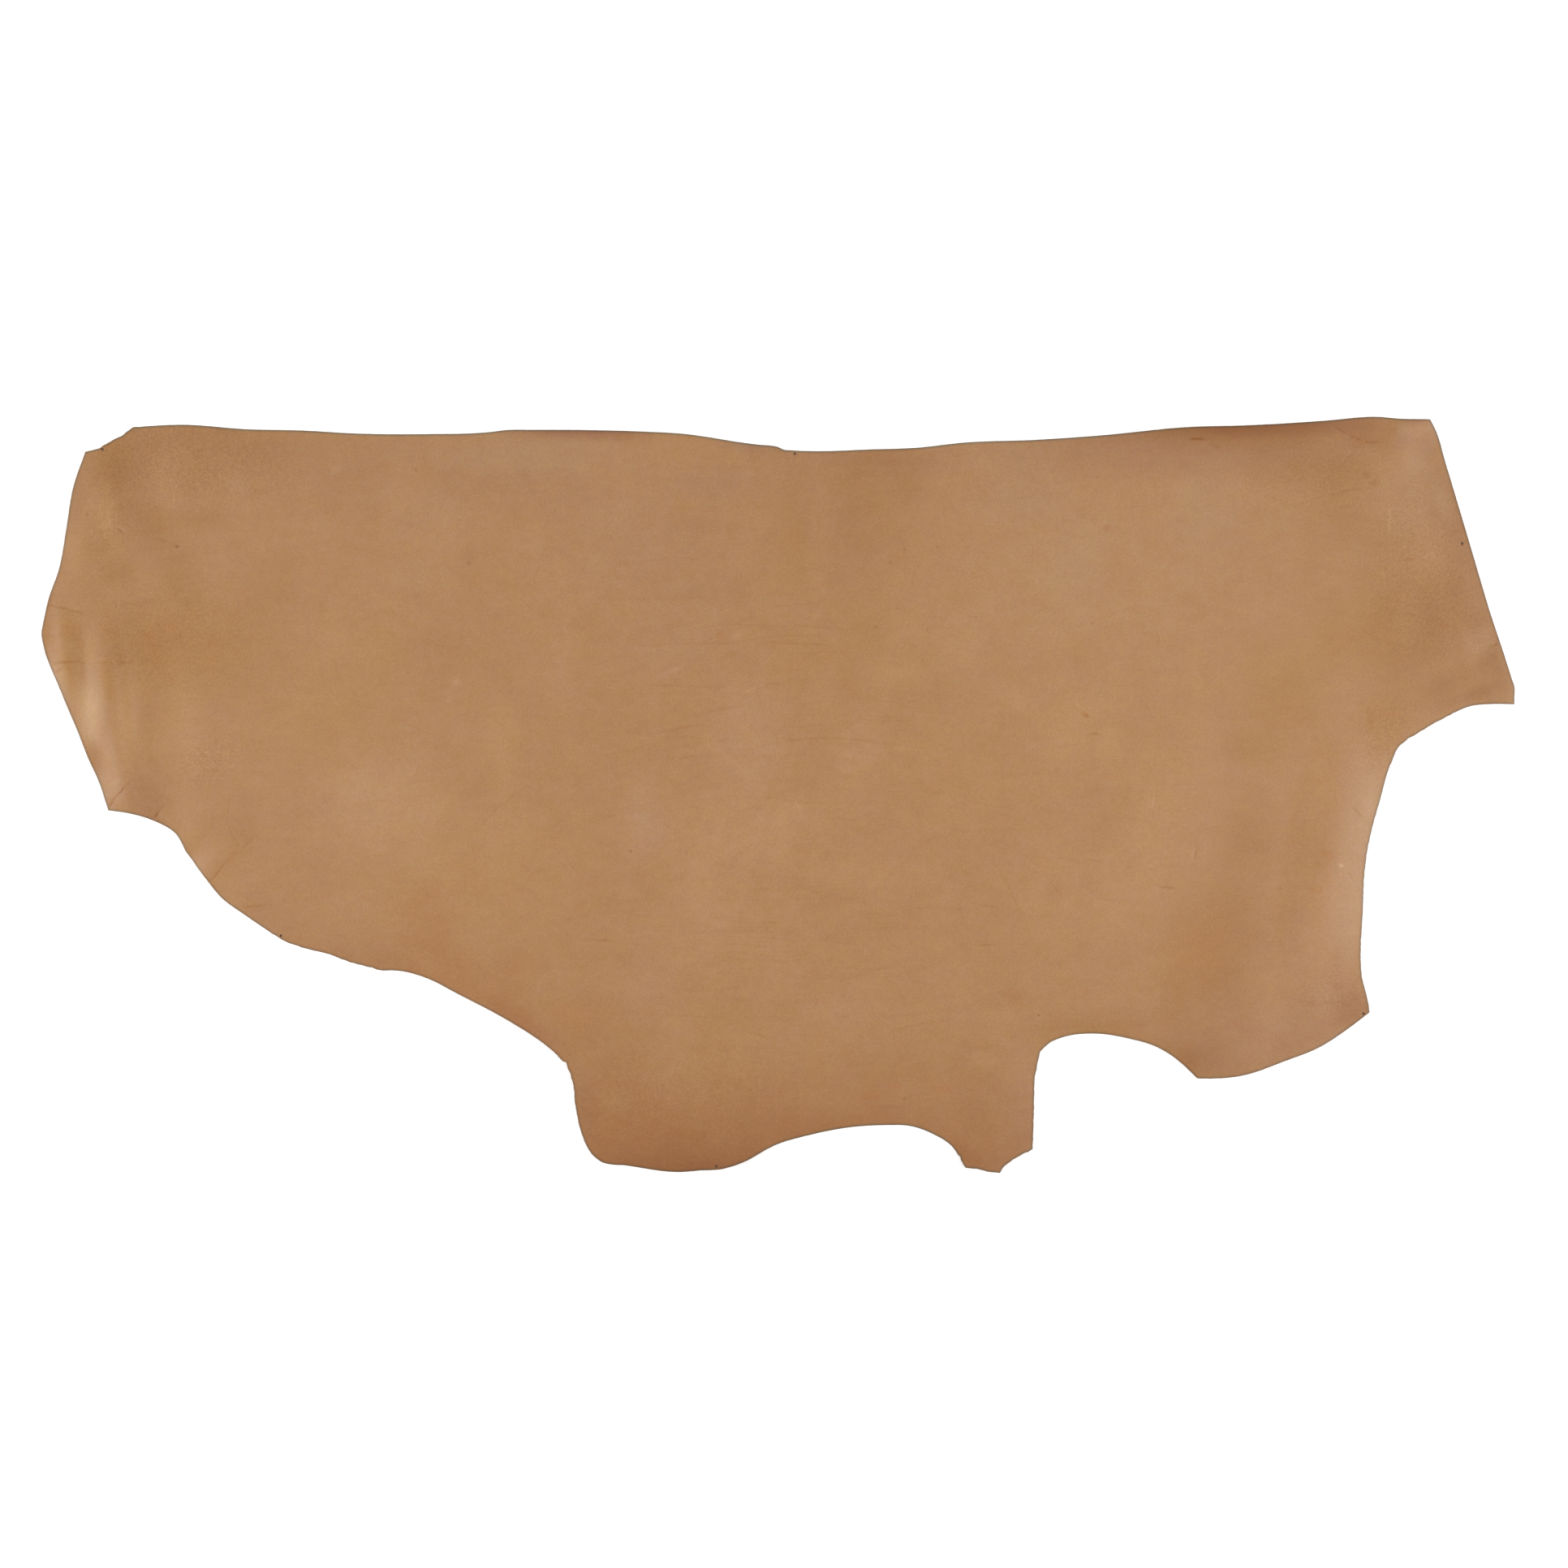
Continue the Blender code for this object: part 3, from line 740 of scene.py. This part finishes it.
def crease_line(path):
    """A smooth, wandering line through a crease's points, with the way across it."""
    places = [Vector(place) * MM for place in path]
    line = []
    for index, (start, end) in enumerate(zip(places, places[1:])):
        leaving = arriving = (end - start).normalized()
        if index > 0:
            leaving = edge_direction(places[index - 1], start, end)
        if index + 2 < len(places):
            arriving = edge_direction(start, end, places[index + 2])
        steps = max(2, round((end - start).length / CREASE_STEP))
        line.extend(bend(start, leaving, arriving, end, steps))
    line.append(places[-1])
    line = np.array(line)
    across = left_of(np.gradient(line, axis=0))
    for index, (x, y) in enumerate(line):
        aside = sway(x, y, CREASE_WANDER_LAYER, CREASE_WANDER_WIDE)
        line[index] += across[index] * aside * CREASE_WANDER
    return line, across


def crease_points():
    """Rows of points along every crease: where they are, and how dark the grain is there."""
    rows = []
    for group in CREASES.values():
        for dark, *path in group:
            line, across = crease_line(path)
            share = np.linspace(0, 1, len(line))
            fading = np.clip(np.minimum(share, 1 - share) * CREASE_FADING, CREASE_END, 1)
            for index, (x, y) in enumerate(line):
                uneven = sway(x, y, CREASE_UNEVEN_LAYER, CREASE_UNEVEN_WIDE)
                fading[index] *= CREASE_EVEN + CREASE_UNEVEN * uneven
            for aside, weight in CREASE_ROWS:
                row = line + across * aside * MM
                rows.append(np.column_stack((row, fading * weight * dark)))
    return np.concatenate(rows)


# Rings of points round a mark's middle, as shares of its size.
MARK_RINGS = (0.5, 1.0)
RING_POINTS = 8


def mark_points():
    """A middle and two rings of points for each small mark."""
    points = []
    for mark in MARKS.values():
        turn = math.radians(mark.turn)
        points.append((mark.x * MM, mark.y * MM, 0))
        for size in MARK_RINGS:
            for step in range(RING_POINTS):
                angle = 2 * math.pi * (step + size) / RING_POINTS
                along = math.cos(angle) * mark.length / 2 * size
                across = math.sin(angle) * mark.width / 2 * size
                x = mark.x + along * math.cos(turn) - across * math.sin(turn)
                y = mark.y + along * math.sin(turn) + across * math.cos(turn)
                points.append((x * MM, y * MM, 0))
    return np.array(points)


def spaced(points, gap):
    """The points, without those that nearly touch an earlier one."""
    taken = set()
    kept = []
    for point in points:
        cell = (round(point[0] / gap), round(point[1] / gap))
        if cell not in taken:
            taken.add(cell)
            kept.append(point)
    return np.array(kept)


def finder(points):
    """A tree that finds the nearest of the points."""
    near = KDTree(len(points))
    for index, point in enumerate(points):
        near.insert((point[0], point[1], 0), index)
    near.balance()
    return near


def clear_of(edge, points, clear):
    """The points that keep their distance from the edge."""
    near = finder(edge)
    return np.array([point for point in points if near.find((*point[:2], 0))[2] > clear])


# The even grid sways by this share of its step, so that its triangles don't line up.
GRID_SWAY = 0.12
GRID_SWAY_WIDE = 11 * MM
GRID_SWAY_LAYERS = (7, 8)


def even_grid(step, edge, others, clear):
    """An even grid of points over the hide, kept clear of the edge and of the points given."""
    near = finder(np.concatenate((edge[:, :2], others[:, :2])))
    low = edge.min(axis=0)
    high = edge.max(axis=0)
    height = step * math.sqrt(3) / 2
    points = []
    for row in range(math.ceil((high[1] - low[1]) / height)):
        y = low[1] + row * height
        for column in range(math.ceil((high[0] - low[0]) / step)):
            x = low[0] + (column + row % 2 / 2) * step
            x_sway, y_sway = (sway(x, y, layer, GRID_SWAY_WIDE) * step * GRID_SWAY
                              for layer in GRID_SWAY_LAYERS)
            if near.find((x + x_sway, y + y_sway, 0))[2] > clear:
                points.append((x + x_sway, y + y_sway, 0))
    return np.array(points)


def net(loops, inner):
    """Triangles between the edge, the holes and the inner points, by the order they come in."""
    points = [Vector(point) for loop in loops for point in loop]
    rings = [list(range(len(loops[0])))]
    first = len(loops[0])
    for hole in loops[1:]:
        rings.append(list(range(first, first + len(hole)))[::-1])
        first += len(hole)
    points.extend(Vector(point[:2]) for point in inner)
    made = delaunay_2d_cdt(points, [], rings, NET_INSIDE_LOOPS, NET_TOLERANCE, True)
    first_source = [sources[0] for sources in made[3]]
    only_edge = [0]
    triangles = []
    for triangle, inside in zip(made[2], made[5]):
        if inside == only_edge:
            triangles.append([first_source[index] for index in triangle])
    return np.array(triangles)


def with_column(points, value=0.0):
    """The points with one number more: the same for all, or one each."""
    return np.column_stack((points, np.full(len(points), value)))


# Wrinkles run across the body in shallow arches over the navel, and sag below it, by this share
# of the arch at most.
ARCH_MIDDLE = 70 * MM
ARCH_WIDTH = 110 * MM
ARCH_SLOPE = 0.25
ARCH_TOP = 100 * MM
ARCH_FOOT = -230 * MM
ARCH_SAG = 0.6


def wrinkle_run(points):
    """Each point's place along and across the wrinkles that pass it."""
    aside = points[:, 0] - ARCH_MIDDLE
    drop = ARCH_SLOPE * (np.sqrt(aside ** 2 + ARCH_WIDTH ** 2) - ARCH_WIDTH)
    share = np.clip((points[:, 1] - ARCH_FOOT) / (ARCH_TOP - ARCH_FOOT), -ARCH_SAG, 1.0)
    return with_column(np.column_stack((points[:, 0], points[:, 1] + drop * share)))


def cover(points, areas):
    """How strongly a list of soft areas covers each point."""
    covered = np.zeros(len(points))
    for area in areas:
        covered = np.maximum(covered, area.strength * np.sqrt(oval(points, area)))
    return covered


def display_to_light(level):
    """Steps of a display, up to 255, as light, by the standard curve of displays."""
    return ((level / 255 + 0.055) / 1.055) ** 2.4


# The leather's own colour, in display steps as the render shows it and as the dye itself.
LEATHER_SHOWN = np.array((177.0, 134.0, 95.0))
LEATHER_DYE = (0.393, 0.1965, 0.0762)
# How much red and blue weigh in brightness.
RED_WEIGHS = 0.3
BLUE_WEIGHS = 0.11


def dye(points):
    """What the dye's own colour is multiplied by at each point, from the patches and marks: the
    dye's tone, with painted highlights and shade.
    """
    shade = np.zeros((len(points), 3))
    patches = [Patch(*row) for group in PATCHES.values() for row in group]
    for patch in (*patches, *MARKS.values()):
        shade += oval(points, patch)[:, None] * (patch.light, patch.red, patch.yellow)
    light, red, yellow = shade.T
    over_green = LEATHER_SHOWN[0] - LEATHER_SHOWN[1]
    under_green = LEATHER_SHOWN[1] - LEATHER_SHOWN[2]
    green = LEATHER_SHOWN[1] + light - RED_WEIGHS * red + BLUE_WEIGHS * yellow
    shown = np.column_stack((green + over_green + red, green, green - under_green - yellow))
    return display_to_light(shown) / display_to_light(LEATHER_SHOWN)


# How far hollows of a width go down, and a pit for each display step that it is darker.
HOLLOWS = ((70 * MM, 0.17 * MM), (22 * MM, 0.05 * MM))
HOLLOW_LAYER = 0
PIT_DEEP = 0.012 * MM


def grain_height(points, dark):
    """The grain side: the flesh side's height and the leather, less its hollows and creases."""
    height = lift(points) + THICKNESS
    for wide, deep in HOLLOWS:
        for index, (x, y) in enumerate(points):
            height[index] -= (1 + sway(x, y, HOLLOW_LAYER, wide)) * deep
    for mark in MARKS.values():
        height -= max(0, -mark.light) * PIT_DEEP * oval(points, mark)
    return height - np.clip(dark, 0, None) * CREASE_DEEP


# A toggle hole narrows to this share at the flesh side, has a ring of points round it, and has
# painted shade in its rim and inside.
HOLE_FOOT = 0.35
HOLE_CLEAR = 1.7 * MM
HOLE_RIM_SHADE = (0.40, 0.30, 0.22)
HOLE_INSIDE_SHADE = (0.15, 0.07, 0.0)


def closed_up(hole):
    """A toggle hole on the flesh side, where the fibres have closed round it again."""
    middle = hole.mean(axis=0)
    return middle + (hole - middle) * HOLE_FOOT


def walls(lower, upper, counts):
    """Faces between two rings of the same points, loop by loop, facing away from the leather."""
    faces = []
    first = 0
    for count in counts:
        for index in range(count):
            here = first + index
            ahead = first + (index + 1) % count
            faces.append((lower + here, lower + ahead, upper + ahead, upper + here))
        first += count
    return faces


# Rows of points along the cut edge: how far inside it in millimetres, and how darkened, by wear
# and painted shade. Then how far apart points have to lie, by what they are for.
RIM_ROWS = ((1.4, 1.0), (2.7, 0.5), (4.6, 0.0))
RIM_GAP = 0.8 * MM
RIM_CLEAR = 0.9 * MM
DRAWN_GAP = 1.0 * MM
GRAIN_CLEAR = 0.55 * GRAIN_NET
FLESH_CLEAR = 0.5 * FLESH_NET


def grain_points(loops, rim):
    """All points inside the grain side: their places, how dark a crease and how worn they are."""
    border = []
    for inset, darkened in RIM_ROWS:
        row = loops[0] + inward(loops[0]) * inset * MM
        border.append(with_column(with_column(row), darkened))
    for hole in loops[1:]:
        row = hole + inward(hole) * HOLE_CLEAR
        border.append(with_column(with_column(row)))
    border = clear_of(rim, spaced(np.concatenate(border), RIM_GAP), RIM_CLEAR)
    drawn = spaced(np.concatenate((crease_points(), mark_points())), DRAWN_GAP)
    drawn = clear_of(np.concatenate((rim, border[:, :2])), drawn, DRAWN_GAP)
    placed = np.concatenate((border, with_column(drawn)))
    plain = even_grid(GRAIN_NET, rim, placed, GRAIN_CLEAR)
    return np.concatenate((placed, with_column(plain)))


def keep(mesh, name, values):
    """An attribute on the mesh's points, of one number each or of three."""
    kind, field = ("FLOAT", "value") if values.ndim == 1 else ("FLOAT_VECTOR", "vector")
    mesh.attributes.new(name, kind, "POINT").data.foreach_set(field, values.ravel())


# The leather's three finishes, in the order of the material slots. Where the surface turns by
# more degrees than this, its edge is shaded sharp.
GRAIN, FLESH, CUT = range(3)
SHARP_TURN = 50


def hide_mesh():
    """One closed sheet: a fine grain side, a plainer flesh side, and the cut edge between."""
    coarse = grain_loops(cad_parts["hide"])
    loops = [ragged(fine_edge(coarse[0]))] + [np.array(loop) for loop in coarse[1:]]
    brows = [loop + inward(loop) * ROUNDED for loop in loops]
    foot_loops = loops[:1] + [closed_up(hole) for hole in loops[1:]]
    counts = [len(loop) for loop in loops]
    rim = np.concatenate(loops)
    brow = np.concatenate(brows)

    inner = grain_points(loops, rim)
    brow_darkened = (np.arange(len(brow)) < counts[0]).astype(float)
    grain = np.concatenate((with_column(with_column(brow), brow_darkened), inner))
    grain_places, dark, darkened_grain = grain[:, :2], grain[:, 2], grain[:, 3]
    flesh_inner = even_grid(FLESH_NET, rim, rim[:1], FLESH_CLEAR)[:, :2]
    flesh = np.concatenate((*foot_loops, flesh_inner))
    verts = np.concatenate((
        with_column(grain_places, grain_height(grain_places, dark)),
        with_column(flesh, lift(flesh)),
        with_column(rim, grain_height(rim, np.zeros(len(rim))) - ROUNDED),
    ))
    flesh_first = len(grain)
    side_first = flesh_first + len(flesh)

    grain_faces = net(brows, inner)
    flesh_faces = net(foot_loops, flesh_inner)[:, ::-1] + flesh_first
    brow_walls = walls(side_first, 0, counts)
    side_walls = walls(flesh_first, side_first, counts)
    faces = grain_faces.tolist() + flesh_faces.tolist() + brow_walls + side_walls
    kinds = [GRAIN] * len(grain_faces) + [FLESH] * len(flesh_faces) + [GRAIN] * len(brow_walls)
    kinds += [CUT] * counts[0] + [GRAIN] * sum(counts[1:])

    shades = np.ones((len(verts), 3))
    shades[:flesh_first] = dye(grain_places)
    # Painted shade round the toggle holes and inside them.
    shades[counts[0]:len(brow)] *= HOLE_RIM_SHADE
    shades[side_first:] = dye(rim)
    shades[side_first + counts[0]:] = HOLE_INSIDE_SHADE
    shades[flesh_first + counts[0]:flesh_first + len(rim)] = HOLE_INSIDE_SHADE
    creased = np.zeros(len(verts))
    creased[:flesh_first] = dark
    darkened = np.zeros(len(verts))
    darkened[:flesh_first] = darkened_grain
    darkened[side_first:side_first + counts[0]] = 1

    mesh = bpy.data.meshes.new("hide_leather")
    mesh.from_pydata(verts.tolist(), [], faces)
    mesh.polygons.foreach_set("material_index", kinds)
    places = verts[:, :2]
    keep(mesh, "dye", shades)
    keep(mesh, "creased", creased)
    keep(mesh, "darkened_rim", darkened)
    keep(mesh, "pebbled", cover(places, PEBBLED))
    keep(mesh, "wrinkled", cover(places, WRINKLED))
    keep(mesh, "greyed", cover(places, GREYED))
    keep(mesh, "wrinkle_run", wrinkle_run(places))
    bm = bmesh.new()
    bm.from_mesh(mesh)
    loose = [vert for vert in bm.verts if not vert.link_faces]
    bmesh.ops.delete(bm, geom=loose, context="VERTS")
    bm.to_mesh(mesh)
    bm.free()
    mesh.shade_smooth()
    mesh.set_sharp_from_angle(angle=math.radians(SHARP_TURN))
    return mesh


def add_node(tree, kind, sockets, **settings):
    """A shader node with its settings, its constants and the links that come into it."""
    made = tree.nodes.new(kind)
    for name, value in settings.items():
        setattr(made, name, value)
    for name, value in sockets.items():
        if isinstance(value, bpy.types.NodeSocket):
            tree.links.new(value, made.inputs[name])
        else:
            made.inputs[name].default_value = value
    return made


def finish(name):
    """A new finish: its material, its nodes, its shader and the place on the hide."""
    material = bpy.data.materials.new(name)
    material.use_nodes = True
    tree = material.node_tree
    place = add_node(tree, "ShaderNodeTexCoord", {}).outputs["Object"]
    return material, tree, tree.nodes["Principled BSDF"], place


def stretched(tree, place, scale):
    """The place scaled along each axis: below 1 draws a pattern out that way."""
    return add_node(tree, "ShaderNodeMapping", {"Vector": place, "Scale": scale}).outputs[0]


def cloud(tree, place, scale, detail=2.0, roughness=0.5, distortion=0.0):
    """A soft random pattern, about as many clouds to a metre as its scale."""
    sockets = {"Vector": place, "Scale": scale, "Detail": detail, "Roughness": roughness,
               "Distortion": distortion}
    return add_node(tree, "ShaderNodeTexNoise", sockets).outputs


def sums(tree, kind, operation, *values):
    """A sum of numbers or of vectors, by the node's own name for it."""
    return add_node(tree, kind, dict(enumerate(values)), operation=operation).outputs[0]


def number(tree, operation, *values):
    return sums(tree, "ShaderNodeMath", operation, *values)


def vector(tree, operation, *values):
    return sums(tree, "ShaderNodeVectorMath", operation, *values)


def weighed(tree, value, weight, onto):
    """onto plus weight times (value - 0.5)."""
    return number(tree, "MULTIPLY_ADD", number(tree, "ADD", value, -0.5), weight, onto)


def named(tree, attribute, output="Fac"):
    """What the mesh says at this place."""
    return add_node(tree, "ShaderNodeAttribute", {}, attribute_name=attribute).outputs[output]


def clouded(tree, colour, amount, strength):
    """The colour made lighter and darker by a cloud, each of red, green and blue by its share."""
    middle = tuple(1 - part / 2 for part in strength)
    shade = vector(tree, "MULTIPLY_ADD", amount, strength, middle)
    return vector(tree, "MULTIPLY", colour, shade)


def shaded(tree, colour, amount, strength):
    """The colour times 1 plus the amount, each of red, green and blue by its share."""
    shade = vector(tree, "MULTIPLY_ADD", amount, strength, (1.0, 1.0, 1.0))
    return vector(tree, "MULTIPLY", colour, shade)


def ramp(tree, value, low, high, at_low, at_high):
    """The value carried from between low and high to between two others, and held there."""
    sockets = {"Value": value, "From Min": low, "From Max": high,
               "To Min": at_low, "To Max": at_high}
    return add_node(tree, "ShaderNodeMapRange", sockets).outputs[0]


def mixed(tree, share, first, second):
    """The first colour where the share is 0, and the second where it is 1."""
    sockets = {0: share, 6: first, 7: second}
    return add_node(tree, "ShaderNodeMix", sockets, data_type="RGBA").outputs[2]


def scaled(tree, colour, light):
    return add_node(tree, "ShaderNodeVectorMath", {0: colour, "Scale": light},
                    operation="SCALE").outputs[0]


def bumped(tree, shader, height, distance, strength=1.0):
    """Small relief in the shading: the height times the distance, in metres."""
    sockets = {"Strength": strength, "Distance": distance, "Height": height}
    bump = add_node(tree, "ShaderNodeBump", sockets)
    tree.links.new(bump.outputs[0], shader.inputs["Normal"])


# What one display step of a crease's painted shade takes from red, green and blue.
CREASE_SHADE = (-0.0085, -0.0165, -0.030)
# What the darker rim, partly worn and partly painted shade, leaves of them, where it is brown and
# where it is grey.
RIM_BROWN = (0.64, 0.71, 0.82, 1.0)
RIM_GREY = (0.56, 0.72, 0.95, 1.0)
# A wrinkle's painted shade in display steps, and the width of its line as the pattern measures it.
WRINKLE_DARK = 6.5
WRINKLE_LINE = 0.045


def grain_leather():
    """Vegetable-tanned grain: clouded brown dye with painted highlights and shade, fine pores,
    creases darkened by painted shade and a soft sheen.
    """
    material, tree, shader, place = finish("tan_grain_leather")
    wide = cloud(tree, place, 22, 2.0, 0.55)["Fac"]
    fleck = cloud(tree, place, 85, 2.0, 0.6)["Fac"]
    speck = cloud(tree, place, 290, 2.0, 0.62)["Fac"]
    streak = cloud(tree, stretched(tree, place, (0.35, 1.0, 1.0)), 75, 1.0, 0.5)["Fac"]
    drift = cloud(tree, place, 34, 3.0, 0.6)["Color"]
    tone = cloud(tree, place, 96, 2.0, 0.6)["Color"]

    # The colour attribute brings the dye's tone with painted highlights and shade. The dye took
    # unevenly: where there is more of it, the leather is darker and redder.
    grain_colour = vector(tree, "MULTIPLY", named(tree, "dye", "Vector"), LEATHER_DYE)
    grain_colour = clouded(tree, grain_colour, wide, (0.07, 0.15, 0.20))
    grain_colour = clouded(tree, grain_colour, fleck, (0.06, 0.13, 0.175))
    grain_colour = clouded(tree, grain_colour, streak, (0.042, 0.09, 0.12))
    grain_colour = clouded(tree, grain_colour, speck, (0.28, 0.39, 0.475))
    grain_colour = clouded(tree, grain_colour, drift, (0.055, 0.02, 0.26))
    grain_colour = clouded(tree, grain_colour, tone, (0.075, 0.03, 0.32))

    # Pebbles: short worm-like swellings of the grain, where the skin was loose.
    loose = named(tree, "pebbled")
    worms = cloud(tree, place, 190, 1.5, 0.5, 0.7)["Fac"]
    pebble = number(tree, "MULTIPLY", weighed(tree, worms, 1.0, 0.0), loose)
    dent = number(tree, "MULTIPLY", weighed(tree, speck, 1.0, 0.0), loose)
    grain_colour = shaded(tree, grain_colour, pebble, (0.21, 0.30, 0.36))
    grain_colour = shaded(tree, grain_colour, dent, (0.26, 0.36, 0.42))

    # Wrinkles: thin broken lines that follow the arches of the body.
    run = named(tree, "wrinkle_run", "Vector")
    lines = cloud(tree, stretched(tree, run, (0.08, 1.0, 1.0)), 40, 2.0, 0.55, 0.25)["Fac"]
    off_line = number(tree, "ABSOLUTE", number(tree, "SUBTRACT", lines, 0.5))
    line = ramp(tree, off_line, 0.0, WRINKLE_LINE, 1.0, 0.0)
    line = number(tree, "MULTIPLY", line, line)
    shown_part = cloud(tree, stretched(tree, run, (0.3, 1.0, 1.0)), 26, 1.0, 0.5)["Fac"]
    broken = ramp(tree, shown_part, 0.42, 0.60, 0.0, 1.0)
    wrinkle = number(tree, "MULTIPLY", line, broken)
    wrinkle = number(tree, "MULTIPLY", wrinkle, named(tree, "wrinkled"))

    # Painted shade darkens creases and wrinkles, and the rim along the cut is darker, partly worn
    # and partly painted shade.
    dark = number(tree, "MULTIPLY_ADD", wrinkle, WRINKLE_DARK, named(tree, "creased"))
    grain_colour = shaded(tree, grain_colour, dark, CREASE_SHADE)
    rim = mixed(tree, named(tree, "greyed"), RIM_BROWN, RIM_GREY)
    darkened = vector(tree, "MULTIPLY", grain_colour, rim)
    shown = mixed(tree, named(tree, "darkened_rim"), grain_colour, darkened)
    tree.links.new(shown, shader.inputs["Base Color"])

    polish = weighed(tree, fleck, 0.16, 0.46)
    polish = weighed(tree, wide, 0.10, polish)
    tree.links.new(polish, shader.inputs["Roughness"])

    # Heights in millimetres: pores, the finest grain, pebbles and wrinkles.
    pores = add_node(tree, "ShaderNodeTexVoronoi", {"Vector": place, "Scale": 420.0},
                     feature="SMOOTH_F1").outputs["Distance"]
    finest = cloud(tree, place, 1100, 2.0, 0.6)["Fac"]
    height = number(tree, "MULTIPLY", pores, 0.07)
    height = weighed(tree, finest, 0.04, height)
    height = number(tree, "MULTIPLY_ADD", pebble, 0.30, height)
    height = number(tree, "MULTIPLY_ADD", wrinkle, -0.08, height)
    bumped(tree, shader, height, MM)
    return material


def flesh_leather():
    """The flesh side: split and buffed to a short pale nap."""
    material, tree, shader, place = finish("tan_flesh_suede")
    drift = cloud(tree, place, 14, 3.0, 0.6)["Fac"]
    nap = cloud(tree, place, 700, 3.0, 0.7)["Fac"]
    fibre = cloud(tree, stretched(tree, place, (1.0, 0.25, 1.0)), 900, 2.0, 0.6)["Fac"]
    light = weighed(tree, drift, 0.25, 1.0)
    light = weighed(tree, nap, 0.30, light)
    light = weighed(tree, fibre, 0.25, light)
    tree.links.new(scaled(tree, (0.43, 0.27, 0.155), light), shader.inputs["Base Color"])
    shader.inputs["Roughness"].default_value = 0.95
    shader.inputs["Sheen Weight"].default_value = 0.25
    shader.inputs["Sheen Roughness"].default_value = 0.6
    bumped(tree, shader, nap, 0.4 * MM, 0.5)
    return material


def cut_leather():
    """The cut edge: packed fibres in thin layers, darker below the grain."""
    material, tree, shader, place = finish("cut_leather_edge")
    layers = cloud(tree, stretched(tree, place, (1.0, 1.0, 6.0)), 300, 3.0, 0.65)["Fac"]
    knife = cloud(tree, place, 60, 2.0, 0.5)["Fac"]
    light = weighed(tree, layers, 0.7, 1.0)
    light = weighed(tree, knife, 0.3, light)
    tree.links.new(scaled(tree, (0.25, 0.165, 0.105), light), shader.inputs["Base Color"])
    shader.inputs["Roughness"].default_value = 0.85
    bumped(tree, shader, layers, 0.3 * MM, 0.6)
    return material


hide = bpy.data.objects.new("hide_leather", hide_mesh())
bpy.context.scene.collection.objects.link(hide)
for leather in (grain_leather(), flesh_leather(), cut_leather()):
    hide.data.materials.append(leather)
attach(hide, "root")
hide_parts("hide")

# ------------------------------------------------------------------------------- The white table
# A plain white studio table of painted board, which gives off a little light of its own. It is
# wider than the camera sees, and lies just under the hide, so that the two never share a face.

TABLE_SIZE = 28.0
TABLE_DROP = 0.0002
TABLE_GLOW = 0.3
bpy.ops.object.select_all(action="DESELECT")
bpy.ops.mesh.primitive_plane_add(size=TABLE_SIZE, location=(0.0, 0.0, -TABLE_DROP))
bpy.ops.object.transform_apply()
table = bpy.context.object
table.name = table.data.name = "studio_table"
white = bpy.data.materials.new("white_table")
white.use_nodes = True
paint = white.node_tree.nodes["Principled BSDF"]
paint.inputs["Base Color"].default_value = (0.92, 0.92, 0.92, 1.0)
paint.inputs["Roughness"].default_value = 0.9
paint.inputs["Specular IOR Level"].default_value = 0.0
paint.inputs["Emission Color"].default_value = (1.0, 1.0, 1.0, 1.0)
paint.inputs["Emission Strength"].default_value = TABLE_GLOW
table.data.materials.append(white)

# ---------------------------------------------------------------------------- Light and camera
# Soft boxes beyond both ends of the hide, low enough to glance off its waves, and a pale room.
# The camera looks straight down, a little towards the back edge.

BOX_WIDE = 2.3
BOX_LONG = 4.0
BOX_POWER = 210.0
ROOM_LIGHT = 0.42
Softbox = namedtuple("Softbox", "stands aimed")
SOFTBOXES = {
    "neck_softbox": Softbox((-4.9, 0.15, 4.4), (-1.0, 0.12, 0.0)),
    "rump_softbox": Softbox((4.4, -0.10, 4.6), (0.9, -0.1, 0.0)),
}
for name, box in SOFTBOXES.items():
    lamp = bpy.data.lights.new(name, "AREA")
    lamp.shape = "RECTANGLE"
    lamp.size = BOX_WIDE
    lamp.size_y = BOX_LONG
    lamp.energy = BOX_POWER
    holder = bpy.data.objects.new(name, lamp)
    holder.location = box.stands
    facing = Vector(box.aimed) - holder.location
    holder.rotation_euler = facing.to_track_quat("-Z", "Y").to_euler()
    bpy.context.scene.collection.objects.link(holder)

room = bpy.data.worlds.new("pale_room")
room.use_nodes = True
room.node_tree.nodes["Background"].inputs["Color"].default_value = (1.0, 1.0, 1.0, 1.0)
room.node_tree.nodes["Background"].inputs["Strength"].default_value = ROOM_LIGHT
bpy.context.scene.world = room
bpy.context.scene.view_settings.view_transform = "Standard"

camera_lens = bpy.data.cameras.new("overhead")
camera_lens.lens = 85
camera_lens.sensor_width = 36
camera = bpy.data.objects.new("overhead", camera_lens)
camera.location = (0.0095, 0.0171, 5.783)
bpy.context.scene.collection.objects.link(camera)
bpy.context.scene.camera = camera
